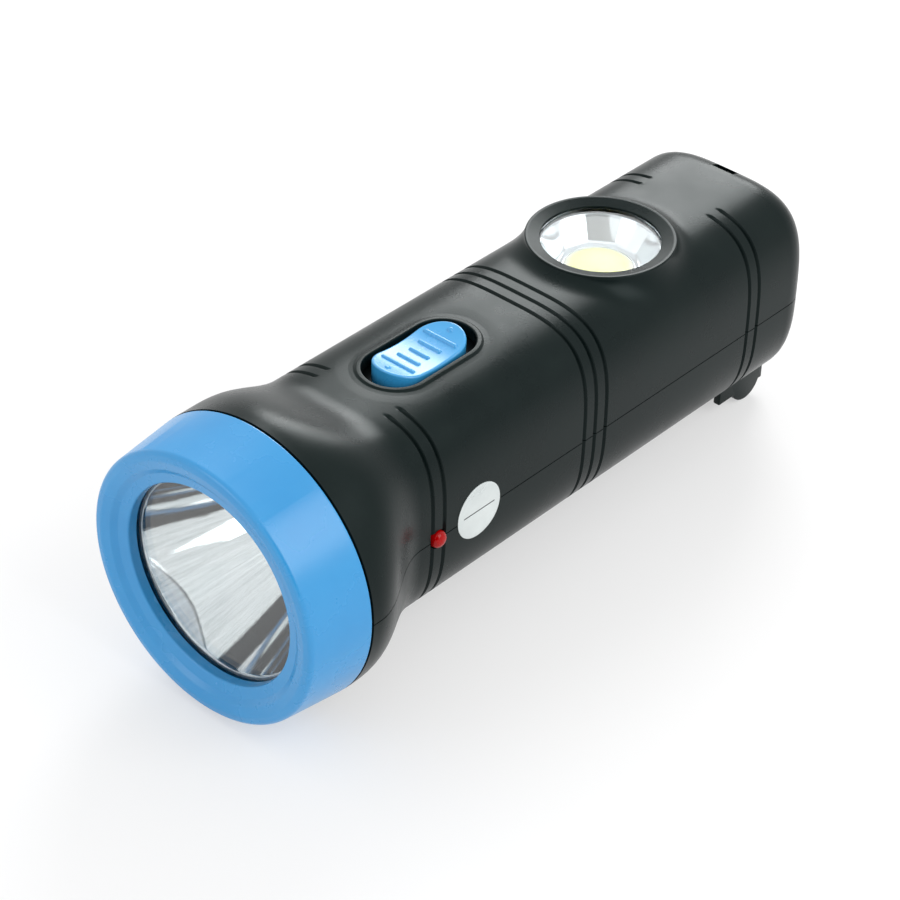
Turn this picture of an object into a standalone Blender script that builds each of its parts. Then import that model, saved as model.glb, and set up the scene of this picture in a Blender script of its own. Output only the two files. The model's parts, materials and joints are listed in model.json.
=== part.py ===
"""Rechargeable hand torch with a side lamp, built piece by piece.

The torch lies on its round head and on the two cheeks of its fold-out plug. Its long axis
runs along Y, with the lens facing -Y and the switch and side lamp facing +Z. The origin is
on the ground, under the middle of the torch. All sizes are in metres.
"""
import math

import bmesh
import bpy
import numpy as np
from mathutils import Matrix, Vector

# Overall sizes, walls and clearances
LENGTH = 0.1323
HEAD_RADIUS = 0.0247
WALL = 0.002
FIT = 0.0003
OVERRUN = 0.0015
WELD_DISTANCE = 0.000001

# Body section behind the head, measured from the lens axis
BODY_HALF_WIDTH = 0.0176
BODY_TOP = 0.0196
BODY_BOTTOM = 0.0176
TOP_CORNER_POWER = 3.6
BOTTOM_CORNER_POWER = 3.0
ROUND_POWER = 2.0
TAIL_ROUNDING = 0.006

# Head cone, from the back of the blue ring to the body
CONE_START = 0.0140
CONE_END = 0.0307

# Grooves round the body: middle group over the top and sides, end groups on the sides only
GROOVE_WIDTH = 0.0012
GROOVE_DEPTH = 0.0006
MIDDLE_GROOVE_SHARE = 0.551
MIDDLE_GROOVE_SPACING = 0.0027
FRONT_GROOVE = 0.0347
REAR_GROOVE_FROM_TAIL = 0.0170
END_GROOVE_SPACING = 0.0027
SIDE_GROOVE_START_SHARE = 0.4

# Blue ring round the lens
BEZEL_LENGTH = 0.0121
BEZEL_FLARE = 0.0013
BEZEL_WALL = 0.0016
BEZEL_EDGE_ROUNDING = 0.0019
LIP_WIDTH = 0.0073
LIP_SETBACK = 0.0016
LIP_LEDGE_WIDTH = 0.0020
LIP_LEDGE_SETBACK = 0.0007
BEZEL_FLANGE_BACK = 0.0036
SPIGOT_WALL = 0.0022

# Lens and main reflector
LENS_MARGIN = 0.0004
LENS_THICKNESS = 0.0015
REFLECTOR_FLANGE = 0.0012
REFLECTOR_MARGIN = 0.0002
REFLECTOR_THROAT_RADIUS = 0.0042
REFLECTOR_DEPTH = 0.0240
REFLECTOR_WALL = 0.0012

# Main light-emitting diode and its board
MAIN_LED_BASE_RADIUS = 0.0038
MAIN_LED_BASE_LENGTH = 0.0012
MAIN_LED_DOME_RADIUS = 0.0026
MAIN_BOARD_RADIUS = 0.0090
MAIN_BOARD_THICKNESS = 0.0015
MAIN_BOARD_RIB_WIDTH = 0.0160
MAIN_BOARD_RIB_REACH = 0.0050

# Switch slot, slider and slide switch
SWITCH_SHARE = 0.3704
SLOT_LENGTH = 0.0220
SLOT_WIDTH = 0.0108
SLOT_RIM_WIDTH = 0.0009
SLOT_RIM_HEIGHT = 0.0004
SLIDER_LENGTH = 0.0178
SLIDER_WIDTH = 0.0092
SLIDER_TRAVEL = 0.0018
SLIDER_PROUD = 0.0014
SLIDER_SCOOP_DEPTH = 0.0009
SLIDER_FLANGE_OVERLAP = 0.0009
SLIDER_FLANGE_THICKNESS = 0.0012
SLIDER_FLANGE_DROP = 0.0002
RIB_WIDTH = 0.0006
RIB_HEIGHT = 0.0003
RIB_SPACING = 0.00245
RIB_LENGTHS = (0.0068, 0.0046, 0.0040, 0.0046, 0.0068)
DOT_RADIUS = 0.0005
DOT_OFFSET = 0.0073
FORK_LENGTH = 0.0060
FORK_WIDTH = 0.0060
FORK_DEPTH = 0.0026
SWITCH_BODY_LENGTH = 0.0120
SWITCH_BODY_WIDTH = 0.0066
SWITCH_BODY_HEIGHT = 0.0044
LEVER_LENGTH = 0.0020
LEVER_WIDTH = 0.0024
LEVER_HEIGHT = 0.0042
LEVER_ENGAGEMENT = 0.0020

# Side lamp on the top: mound, lens, dish, board and phosphor
LAMP_SHARE = 0.7105
LAMP_RIM_RADIUS = 0.0128
LAMP_RIM_HEIGHT = 0.0015
LAMP_SKIRT_RADIUS = 0.0150
LAMP_SKIRT_DROP = 0.0043
LAMP_SEAT_TAPER = 0.0010
LAMP_OPENING_RADIUS = 0.0102
LAMP_LIP_THICKNESS = 0.0008
LAMP_LENS_RADIUS = 0.0104
LAMP_LENS_THICKNESS = 0.0008
DISH_RADIUS = 0.0100
DISH_FLOOR_RADIUS = 0.0074
DISH_HEIGHT = 0.0050
DISH_WALL = 0.0008
DISH_FLOOR = 0.0010
DISH_HOLE_RADIUS = 0.0064
DISH_FLANGE_RADIUS = 0.0122
DISH_FLANGE_THICKNESS = 0.0014
EAR_OFFSET = 0.0138
EAR_RADIUS = 0.0022
LAMP_BOARD_RADIUS = 0.0090
LAMP_BOARD_THICKNESS = 0.0011
PHOSPHOR_RADIUS = 0.0059
PHOSPHOR_THICKNESS = 0.0009

# Small screws that hold the side lamp, and the larger ones that hold the casing together
LAMP_SCREW_RADIUS = 0.0007
LAMP_SCREW_HEAD_RADIUS = 0.0017
LAMP_SCREW_HEAD_HEIGHT = 0.0010
LAMP_SCREW_GRIP = 0.0028
SCREW_RADIUS = 0.0010
SCREW_HEAD_RADIUS = 0.0021
SCREW_HEAD_HEIGHT = 0.0014
SCREW_TIP = 0.0085
SCREW_RECESS_HALF_WIDTH = 0.0010
SCREW_RECESS_WIDTH = 0.0005
SCREW_RECESS_DEPTH = 0.0007
SCREW_SIDE_ROOM = 0.0064
SCREW_FRONT = 0.0395
SCREW_FROM_TAIL = 0.0145
SCREW_SEAT_DROP = 0.0118
BOSS_RADIUS = 0.0031

# Charge light in the parting line
CHARGE_LIGHT_ALONG = 0.0347
CHARGE_LIGHT_RADIUS = 0.0015
CHARGE_LIGHT_PROUD = 0.0011
CHARGE_LIGHT_LENGTH = 0.0042
CHARGE_LIGHT_FLANGE_RADIUS = 0.0019
CHARGE_LIGHT_FLANGE = 0.0008
LEAD_RADIUS = 0.00025
LEAD_SPACING = 0.0013
LEAD_BEND_ROOM = 0.0045

# Control board and what is soldered to it
BOARD_GAP = 0.0005
BOARD_LENGTH = 0.0213
BOARD_SIDE_ROOM = 0.0041
BOARD_THICKNESS = 0.0012
POST_SIZE = 0.0020
POST_INSET = 0.0010
CAPACITOR_LENGTH = 0.0165
CAPACITOR_WIDTH = 0.0080
CAPACITOR_HEIGHT = 0.0125
CAPACITOR_ROUNDING = 0.0008
DIODE_RADIUS = 0.0013
DIODE_LENGTH = 0.0050
AXIAL_LEAD_RADIUS = 0.0004
AXIAL_LEAD_LENGTH = 0.0016
DIODE_ACROSS = 0.0078
RESISTOR_RADIUS = 0.0012
RESISTOR_LENGTH = 0.0062
RESISTOR_ACROSS = 0.0088

# Battery block and its terminals
BATTERY_FRONT = 0.0685
BATTERY_FROM_TAIL = 0.0208
BATTERY_SIDE_ROOM = 0.0036
BATTERY_TOP = 0.0088
BATTERY_FLOOR_SHARE = 0.62
UNDERFLOOR_ROOM = 0.0019
BATTERY_ROUNDING = 0.0008
TAB_WIDTH = 0.0040
TAB_HEIGHT = 0.0050
TAB_THICKNESS = 0.0004
TAB_ACROSS = 0.0080
TAB_ABOVE = 0.0050
CRADLE_RIB_WIDTH = 0.0084
CRADLE_RIB_THICKNESS = 0.0015
CRADLE_RIB_SHARES = (0.15, 0.6)
HOLD_DOWN_SHARES = (0.15, 0.94)
HOLD_DOWN_WIDTH = 0.0050
HOLD_DOWN_ACROSS = 0.0095

# Fold-out plug under the tail
PIVOT_FROM_TAIL = 0.0047
CHEEK_RADIUS = 0.0040
CHEEK_OUTSIDE = 0.0095
CHEEK_THICKNESS = 0.0014
CHEEK_FRONT_REACH = 0.0079
CHEEK_STEP_RISE = 0.0023
CHEEK_REAR_STEP = 0.0009
CHEEK_REAR_STEP_RISE = 0.0025
CHEEK_ROOT_DROP = 0.0156
CHEEK_TAIL_DROP = 0.0110
CHEEK_TAIL_RUN = 0.0022
ROTOR_RADIUS = 0.0036
ROTOR_BLOCK_RISE = 0.0089
ROTOR_BLOCK_BACK = 0.0012
BLADE_SPACING = 0.0127
BLADE_THICKNESS = 0.0015
BLADE_WIDTH = 0.0063
BLADE_RISE = 0.0019
BLADE_LENGTH = 0.0165
BLADE_ROOT = 0.0040
BLADE_TIP_CHAMFER = 0.0012
BLADE_HOLE_RADIUS = 0.0016
BLADE_HOLE_REACH = 0.0118
BLADE_TAIL_SHARES = ((0.53, -0.5), (0.83, -0.5), (0.94, 0.0), (0.72, 0.6))
BLADE_NECK_SHARE = 0.95
AXLE_RADIUS = 0.0010
AXLE_SEAT = 0.0007
POCKET_WALL = 0.0011
CONTACT_THICKNESS = 0.0004
CONTACT_WIDTH = 0.0020
CONTACT_TAB = 0.0032

# Lanyard slot in the top rear edge
LANYARD_WIDTH = 0.0046
LANYARD_GAP = 0.0019
LANYARD_FROM_TAIL = 0.0039
LANYARD_DEPTH = 0.0066
LANYARD_WALL = 0.0015

# Wires and the round sticker
WIRE_RADIUS = 0.0006
WIRE_STEP = 0.0040
WIRE_SPREAD_SHARES = (1.1, 1.2, 1.4)
STICKER_RADIUS = 0.0050
STICKER_THICKNESS = 0.0002
STICKER_GAP = 0.0001
STICKER_ALONG = 0.0442
STICKER_ABOVE = 0.0004

# Mesh fineness
SECTION_POINTS = 40
ROUND_STEPS = 40
SMALL_STEPS = 14
TINY_STEPS = 10

# Places that follow from the sizes above
MIDDLE_GROOVE = LENGTH * MIDDLE_GROOVE_SHARE
REAR_GROOVE = LENGTH - REAR_GROOVE_FROM_TAIL
SWITCH_ALONG = LENGTH * SWITCH_SHARE
LAMP_ALONG = LENGTH * LAMP_SHARE
SCREW_ACROSS = BODY_HALF_WIDTH - SCREW_SIDE_ROOM
BOARD_WIDTH = 2 * (BODY_HALF_WIDTH - BOARD_SIDE_ROOM)
BATTERY_WIDTH = 2 * (BODY_HALF_WIDTH - BATTERY_SIDE_ROOM)
BEZEL_FRONT_RADIUS = HEAD_RADIUS - BEZEL_FLARE
SPIGOT_RADIUS = BEZEL_FRONT_RADIUS - BEZEL_WALL - FIT
LIP_RADIUS = HEAD_RADIUS - LIP_WIDTH
LENS_RADIUS = SPIGOT_RADIUS - LENS_MARGIN
REFLECTOR_MOUTH_RADIUS = LIP_RADIUS - REFLECTOR_MARGIN
LENS_FRONT = BEZEL_FLANGE_BACK + FIT
REFLECTOR_FRONT = LENS_FRONT + LENS_THICKNESS + FIT
REFLECTOR_FLANGE_BACK = REFLECTOR_FRONT + REFLECTOR_FLANGE
SPIGOT_FRONT = REFLECTOR_FLANGE_BACK + FIT
SPIGOT_END = BEZEL_LENGTH + FIT
REFLECTOR_END = REFLECTOR_FRONT + REFLECTOR_DEPTH
MAIN_BOARD_FRONT = REFLECTOR_END + FIT
MAIN_BOARD_BACK = MAIN_BOARD_FRONT + MAIN_BOARD_THICKNESS
INNER_TOP = BODY_TOP - WALL
INNER_BOTTOM = BODY_BOTTOM - WALL
RIM_TOP = BODY_TOP + LAMP_RIM_HEIGHT
LAMP_LIP_UNDERSIDE = RIM_TOP - LAMP_LIP_THICKNESS
LAMP_LENS_TOP = LAMP_LIP_UNDERSIDE - FIT
DISH_TOP = LAMP_LENS_TOP - LAMP_LENS_THICKNESS - FIT
DISH_BOTTOM = DISH_TOP - DISH_HEIGHT
DISH_FLANGE_TOP = DISH_BOTTOM + DISH_FLANGE_THICKNESS
LAMP_BORE_RADIUS = DISH_RADIUS + DISH_WALL + FIT
SLIDER_FLANGE_TOP = INNER_TOP - FIT - SLIDER_FLANGE_DROP
SLIDER_FLANGE_BOTTOM = SLIDER_FLANGE_TOP - SLIDER_FLANGE_THICKNESS
FORK_BOTTOM = SLIDER_FLANGE_BOTTOM - FORK_DEPTH
LEVER_TOP = FORK_BOTTOM + LEVER_ENGAGEMENT
SWITCH_BODY_TOP = FORK_BOTTOM - FIT
BOARD_TOP = SWITCH_BODY_TOP - SWITCH_BODY_HEIGHT - FIT
BOARD_BOTTOM = BOARD_TOP - BOARD_THICKNESS
BOARD_FRONT = SCREW_FRONT + BOSS_RADIUS + BOARD_GAP
BOARD_BACK = BOARD_FRONT + BOARD_LENGTH
BATTERY_LENGTH = LENGTH - BATTERY_FROM_TAIL - BATTERY_FRONT
PIVOT_ALONG = LENGTH - PIVOT_FROM_TAIL
PIVOT_DROP = HEAD_RADIUS - CHEEK_RADIUS
LANYARD_ALONG = LENGTH - LANYARD_FROM_TAIL
CHEEK_INSIDE = CHEEK_OUTSIDE - CHEEK_THICKNESS
ROTOR_HALF_WIDTH = CHEEK_INSIDE - FIT
ROTOR_SWEEP = math.hypot(ROTOR_RADIUS, ROTOR_BLOCK_RISE)
POCKET_FRONT = PIVOT_ALONG - ROTOR_SWEEP - FIT
POCKET_BACK = PIVOT_ALONG + ROTOR_BLOCK_BACK + CONTACT_THICKNESS + FIT + FIT
POCKET_ROOF_DROP = PIVOT_DROP - math.hypot(ROTOR_BLOCK_BACK, ROTOR_BLOCK_RISE) - FIT
POCKET_TOP_DROP = POCKET_ROOF_DROP - POCKET_WALL
BATTERY_DROP = min(POCKET_TOP_DROP - UNDERFLOOR_ROOM, INNER_BOTTOM * BATTERY_FLOOR_SHARE)
BLADE_ACROSS = BLADE_SPACING / 2
CHANNEL_HALF_WIDTH = BLADE_THICKNESS / 2 + FIT
BLADE_TOP = BLADE_RISE + BLADE_WIDTH
BLADE_SWEEP = math.hypot(ROTOR_RADIUS + BLADE_LENGTH, BLADE_TOP - BLADE_TIP_CHAMFER)
CHANNEL_FRONT = PIVOT_ALONG - BLADE_SWEEP - FIT
CHANNEL_ROOF = -PIVOT_DROP + BLADE_TOP + FIT

AXIS_X = Vector((1, 0, 0))
AXIS_Y = Vector((0, 1, 0))
AXIS_Z = Vector((0, 0, 1))
# Outlines drawn in the side view: first coordinate along the torch, second upwards
SIDE_VIEW = Matrix(((0, 0, 1), (1, 0, 0), (0, 1, 0))).to_4x4()
# Turned pieces whose own axis lies along the torch, and those that lie across it
ALONG_TORCH = Matrix.Rotation(-math.pi / 2, 4, "X")
ACROSS_TORCH = Matrix.Rotation(math.pi / 2, 4, "Y")


def place(across, along, above):
    """World position: across from the middle, along from the front, above the lens axis."""
    return Vector((across, along - LENGTH / 2, above + HEAD_RADIUS))


def clear_scene():
    for obj in list(bpy.data.objects):
        bpy.data.objects.remove(obj, do_unlink=True)


def new_collection(name):
    collection = bpy.data.collections.new(name)
    bpy.context.scene.collection.children.link(collection)
    return collection


clear_scene()
TORCH = new_collection("torch")
CUTTERS = new_collection("cutters")


def material(name, colour, roughness, metallic=0.0, transmission=0.0, coat=0.0):
    found = bpy.data.materials.get(name)
    if found:
        return found
    made = bpy.data.materials.new(name)
    made.use_nodes = True
    shader = made.node_tree.nodes["Principled BSDF"]
    shader.inputs["Base Color"].default_value = (*colour, 1.0)
    shader.inputs["Roughness"].default_value = roughness
    shader.inputs["Metallic"].default_value = metallic
    shader.inputs["Transmission Weight"].default_value = transmission
    shader.inputs["Coat Weight"].default_value = coat
    made.diffuse_color = (*colour, 1.0)
    return made


def black_plastic():
    return material("black_plastic", (0.028, 0.031, 0.031), 0.38)


def blue_plastic():
    return material("blue_plastic", (0.05, 0.27, 0.72), 0.32)


def clear_plastic():
    return material("clear_plastic", (0.95, 0.97, 0.97), 0.05, transmission=0.9)


def chrome_plating():
    return material("chrome_plating", (0.85, 0.86, 0.87), 0.08, metallic=1.0)


def white_plating():
    return material("white_plating", (0.82, 0.85, 0.86), 0.22, metallic=0.4)


def phosphor_yellow():
    return material("phosphor_yellow", (0.95, 0.93, 0.35), 0.6)


def red_epoxy():
    return material("red_epoxy", (0.62, 0.01, 0.01), 0.15, transmission=0.3)


def board_laminate():
    return material("board_laminate", (0.03, 0.16, 0.07), 0.5)


def aluminium_board():
    return material("aluminium_board", (0.75, 0.76, 0.76), 0.4, metallic=0.7)


def dark_plastic():
    return material("dark_plastic", (0.018, 0.018, 0.02), 0.5)


def plated_brass():
    return material("plated_brass", (0.70, 0.66, 0.55), 0.28, metallic=1.0)


def zinc_steel():
    return material("zinc_steel", (0.55, 0.56, 0.57), 0.35, metallic=1.0)


def silver_film():
    return material("silver_film", (0.62, 0.66, 0.66), 0.3, metallic=0.6)


def resin(name, colour):
    return material(name, colour, 0.45)


def add_object(name, mesh, finish=None, matrix=None, collection=TORCH):
    obj = bpy.data.objects.new(name, mesh)
    if matrix is not None:
        obj.matrix_world = matrix
    if finish is not None:
        mesh.materials.clear()
        mesh.materials.append(finish)
    collection.objects.link(obj)
    return obj


def as_tool(obj):
    """Puts an object among the hidden tools that cut or build up a piece."""
    for owner in list(obj.users_collection):
        owner.objects.unlink(obj)
    CUTTERS.objects.link(obj)
    obj.hide_render = True
    obj.display_type = "WIRE"
    return obj


def boolean(obj, tool, operation):
    modifier = obj.modifiers.new(f"{operation.lower()} {tool.name}", "BOOLEAN")
    modifier.operation = operation
    modifier.solver = "EXACT"
    modifier.object = as_tool(tool)


def cut(obj, *tools):
    for tool in tools:
        boolean(obj, tool, "DIFFERENCE")


def join(obj, *tools):
    for tool in tools:
        boolean(obj, tool, "UNION")


def mesh_from(name, build):
    """A mesh filled by a bmesh function."""
    mesh = bpy.data.meshes.new(name)
    work = bmesh.new()
    build(work)
    work.to_mesh(mesh)
    work.free()
    return mesh


def block(name, size, centre, finish=None, rounding=0.0):
    """A box given by its full sizes across, along and up, and its centre."""

    def build(work):
        bmesh.ops.create_cube(work, size=1, matrix=Matrix.Diagonal((*size, 1)))

    obj = add_object(name, mesh_from(name, build), finish, Matrix.Translation(centre))
    if rounding:
        bevel = obj.modifiers.new("rounded edges", "BEVEL")
        bevel.width = rounding
        bevel.segments = 2
    return obj


def drum(name, radius, length, centre, turn, finish=None, end_radius=None, steps=SMALL_STEPS):
    """A cylinder or a cone along the local Z of its turning matrix."""
    far_radius = radius if end_radius is None else end_radius

    def build(work):
        bmesh.ops.create_cone(
            work, cap_ends=True, segments=steps, radius1=radius, radius2=far_radius, depth=length
        )

    mesh = mesh_from(name, build)
    mesh.shade_smooth()
    mesh.set_sharp_from_angle(angle=math.radians(40))
    return add_object(name, mesh, finish, Matrix.Translation(centre) @ turn)


def turned(name, profile, origin, turn, finish=None, steps=ROUND_STEPS, closed=False):
    """A profile of (radius, height) pairs that runs down its outer side, turned about Z."""
    mesh = bpy.data.meshes.new(name)
    edges = [(index, index + 1) for index in range(len(profile) - 1)]
    if closed:
        edges.append((len(profile) - 1, 0))
    mesh.from_pydata([(radius, 0, height) for radius, height in profile], edges, [])
    obj = add_object(name, mesh, finish, Matrix.Translation(origin) @ turn)
    screw = obj.modifiers.new("turn", "SCREW")
    screw.steps = steps
    screw.render_steps = steps
    screw.use_merge_vertices = True
    screw.merge_threshold = WELD_DISTANCE
    screw.use_smooth_shade = True
    return obj


def curve_to_mesh(name, curve, matrix):
    """A curve object's solid as a welded mesh, with the curve removed."""
    holder = bpy.data.objects.new(name + " curve", curve)
    holder.matrix_world = matrix
    bpy.context.scene.collection.objects.link(holder)
    graph = bpy.context.evaluated_depsgraph_get()
    mesh = bpy.data.meshes.new_from_object(holder.evaluated_get(graph))
    mesh.name = name
    work = bmesh.new()
    work.from_mesh(mesh)
    bmesh.ops.remove_doubles(work, verts=work.verts, dist=WELD_DISTANCE)
    bmesh.ops.recalc_face_normals(work, faces=work.faces)
    work.to_mesh(mesh)
    work.free()
    bpy.data.objects.remove(holder, do_unlink=True)
    return mesh


def plate(name, outline, thickness, origin, turn, finish=None):
    """A flat outline made into a plate whose middle lies at the origin."""
    curve = bpy.data.curves.new(name, "CURVE")
    curve.dimensions = "2D"
    curve.fill_mode = "BOTH"
    curve.extrude = thickness / 2
    spline = curve.splines.new("POLY")
    spline.points.add(len(outline) - 1)
    for point, (first, second) in zip(spline.points, outline):
        point.co = (first, second, 0, 1)
    spline.use_cyclic_u = True
    matrix = Matrix.Translation(origin) @ turn
    return add_object(name, curve_to_mesh(name, curve, matrix), finish, matrix)


def arc(centre, radius, start, end, steps):
    """Points on an arc, from one angle in degrees to another."""
    angles = np.radians(np.linspace(start, end, steps + 1))
    return [
        (centre[0] + radius * math.cos(angle), centre[1] + radius * math.sin(angle))
        for angle in angles
    ]


def stadium(length, width, steps=12):
    """A slot shape with round ends, its length along the second coordinate."""
    reach = (length - width) / 2
    return arc((0, reach), width / 2, 0, 180, steps) + arc((0, -reach), width / 2, 180, 360, steps)


def grown(outline, distance):
    """An anticlockwise outline moved outwards by a distance, with mitred corners."""
    points = np.array(outline)
    before = points - np.roll(points, 1, axis=0)
    after = np.roll(points, -1, axis=0) - points
    before /= np.linalg.norm(before, axis=1)[:, None]
    after /= np.linalg.norm(after, axis=1)[:, None]
    normal_before = np.stack([before[:, 1], -before[:, 0]], axis=1)
    normal_after = np.stack([after[:, 1], -after[:, 0]], axis=1)
    middle = normal_before + normal_after
    middle /= (middle * normal_before).sum(axis=1)[:, None]
    return [tuple(point) for point in points + middle * distance]


def section(half_width, top, bottom, along, roundness=0.0, inset=None):
    """One ring of the body: a rounded rectangle, or a circle where roundness is 1."""
    angle = np.arange(SECTION_POINTS) * (2 * math.pi / SECTION_POINTS)
    cosine = np.cos(angle)
    sine = np.sin(angle)
    upper = TOP_CORNER_POWER + (ROUND_POWER - TOP_CORNER_POWER) * roundness
    lower = BOTTOM_CORNER_POWER + (ROUND_POWER - BOTTOM_CORNER_POWER) * roundness
    power = np.where(sine >= 0, upper, lower)
    reach = np.where(sine >= 0, top, bottom)
    across = half_width * np.sign(cosine) * np.abs(cosine) ** (2 / power)
    above = reach * np.sign(sine) * np.abs(sine) ** (2 / power)
    if inset is not None:
        depth = inset(np.abs(across) / half_width)
        across = across * (1 - depth / half_width)
        above = above * (1 - depth / reach)
    return [place(x, along, z) for x, z in zip(across, above)]


def loft(name, rings, finish=None):
    """A closed skin over rings that each have the same number of points."""
    count = len(rings[0])
    faces = []
    for ring in range(len(rings) - 1):
        for index in range(count):
            following = (index + 1) % count
            faces.append(
                (
                    ring * count + index,
                    (ring + 1) * count + index,
                    (ring + 1) * count + following,
                    ring * count + following,
                )
            )
    faces.append(tuple(range(count)))
    faces.append(tuple(reversed(range((len(rings) - 1) * count, len(rings) * count))))
    mesh = bpy.data.meshes.new(name)
    mesh.from_pydata([point for ring in rings for point in ring], [], faces)
    mesh.shade_smooth()
    mesh.set_sharp_from_angle(angle=math.radians(35))
    return add_object(name, mesh, finish)


def smooth_step(share):
    return share * share * (3 - 2 * share)


def cone_section(share, offset, along):
    """A ring of the head cone: 0 is the round front, 1 is the body."""
    blend = smooth_step(share)

    def between(first, second):
        return first + (second - first) * blend - offset

    return section(
        between(HEAD_RADIUS, BODY_HALF_WIDTH),
        between(HEAD_RADIUS, BODY_TOP),
        between(HEAD_RADIUS, BODY_BOTTOM),
        along,
        roundness=1 - blend,
    )


def round_section(radius, along):
    return section(radius, radius, radius, along, roundness=1)


def body_section(along, offset=0.0, inset=None):
    return section(
        BODY_HALF_WIDTH - offset, BODY_TOP - offset, BODY_BOTTOM - offset, along, inset=inset
    )


def groove_places():
    """The middle of each groove, and whether it runs over the top."""
    places = []
    for step in (-1, 0, 1):
        places.append((MIDDLE_GROOVE + step * MIDDLE_GROOVE_SPACING, True))
    for group in (FRONT_GROOVE, REAR_GROOVE):
        places.append((group - END_GROOVE_SPACING / 2, False))
        places.append((group + END_GROOVE_SPACING / 2, False))
    return sorted(places)


def outer_rings():
    rings = [round_section(SPIGOT_RADIUS, SPIGOT_FRONT), round_section(SPIGOT_RADIUS, SPIGOT_END)]
    rings.append(cone_section(0, 0.0, SPIGOT_END))
    for share in np.linspace(0, 1, 9):
        rings.append(cone_section(share, 0.0, CONE_START + (CONE_END - CONE_START) * share))
    for middle, over_top in groove_places():

        def inset(share, everywhere=over_top):
            depth = np.full_like(share, GROOVE_DEPTH)
            return depth if everywhere else np.where(share > SIDE_GROOVE_START_SHARE, depth, 0)

        rings.append(body_section(middle - GROOVE_WIDTH / 2))
        rings.append(body_section(middle, inset=inset))
        rings.append(body_section(middle + GROOVE_WIDTH / 2))
    for turn in np.linspace(0, math.pi / 2, 7):
        drop = TAIL_ROUNDING * (1 - math.cos(turn))
        rings.append(
            body_section(LENGTH - TAIL_ROUNDING + TAIL_ROUNDING * math.sin(turn), offset=drop)
        )
    return rings


def inner_rings():
    """The hollow of the casing, open at the front."""
    bore = SPIGOT_RADIUS - SPIGOT_WALL
    rings = [round_section(bore, SPIGOT_FRONT - OVERRUN), round_section(bore, SPIGOT_END)]
    for share in np.linspace(0, 1, 7):
        along = CONE_START + (CONE_END - CONE_START) * share
        rings.append(cone_section(share, WALL, along + WALL / 2))
    rounding = TAIL_ROUNDING - WALL
    for turn in np.linspace(0, math.pi / 2, 5):
        drop = rounding * (1 - math.cos(turn))
        along = LENGTH - TAIL_ROUNDING + rounding * math.sin(turn)
        rings.append(body_section(along, offset=WALL + drop))
    return rings


def half_space(name, upper):
    """A block that covers everything above, or below, the parting line."""
    size = LENGTH * 2
    side = 1 if upper else -1
    return block(name, (size, size, size), place(0, LENGTH / 2, side * (size / 2 - FIT / 2)))


def screw_places():
    stations = (SCREW_FRONT, LENGTH - SCREW_FROM_TAIL)
    return [(side * SCREW_ACROSS, along) for along in stations for side in (-1, 1)]


def upright(name, radius, low, high, across, along, steps=SMALL_STEPS, finish=None):
    """A cylinder that stands between two heights."""
    centre = place(across, along, (low + high) / 2)
    return drum(name, radius, high - low, centre, Matrix(), finish, steps=steps)


def span_block(name, across, along, above, finish=None, rounding=0.0):
    """A box given by its lowest and highest value in each direction."""
    low = place(across[0], along[0], above[0])
    high = place(across[1], along[1], above[1])
    return block(name, tuple(high - low), (low + high) / 2, finish, rounding)


def charge_light_hole(name):
    centre = place(BODY_HALF_WIDTH, CHARGE_LIGHT_ALONG, 0)
    return drum(
        name, CHARGE_LIGHT_RADIUS + FIT, (WALL + OVERRUN) * 2, centre, ACROSS_TORCH
    )


def upper_shell():
    """Top half of the casing, with the switch slot, the lamp mound and the lanyard slot."""
    shell = loft("upper_shell", outer_rings(), black_plastic())
    skirt_height = LAMP_SKIRT_DROP + LAMP_RIM_HEIGHT
    mound = drum(
        "lamp mound",
        LAMP_SKIRT_RADIUS,
        skirt_height,
        place(0, LAMP_ALONG, RIM_TOP - skirt_height / 2),
        Matrix(),
        end_radius=LAMP_RIM_RADIUS,
        steps=ROUND_STEPS,
    )
    rim_base = BODY_TOP - SLOT_RIM_HEIGHT
    rim = plate(
        "slot rim",
        stadium(SLOT_LENGTH + 2 * SLOT_RIM_WIDTH, SLOT_WIDTH + 2 * SLOT_RIM_WIDTH),
        2 * SLOT_RIM_HEIGHT,
        place(0, SWITCH_ALONG, rim_base + SLOT_RIM_HEIGHT),
        Matrix(),
    )
    join(shell, mound, rim)
    hollow = loft("upper hollow", inner_rings())
    cut(hollow, *upper_bosses())
    cut(shell, hollow, half_space("below the parting line", False))
    cut_upper_openings(shell)
    return shell


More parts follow.
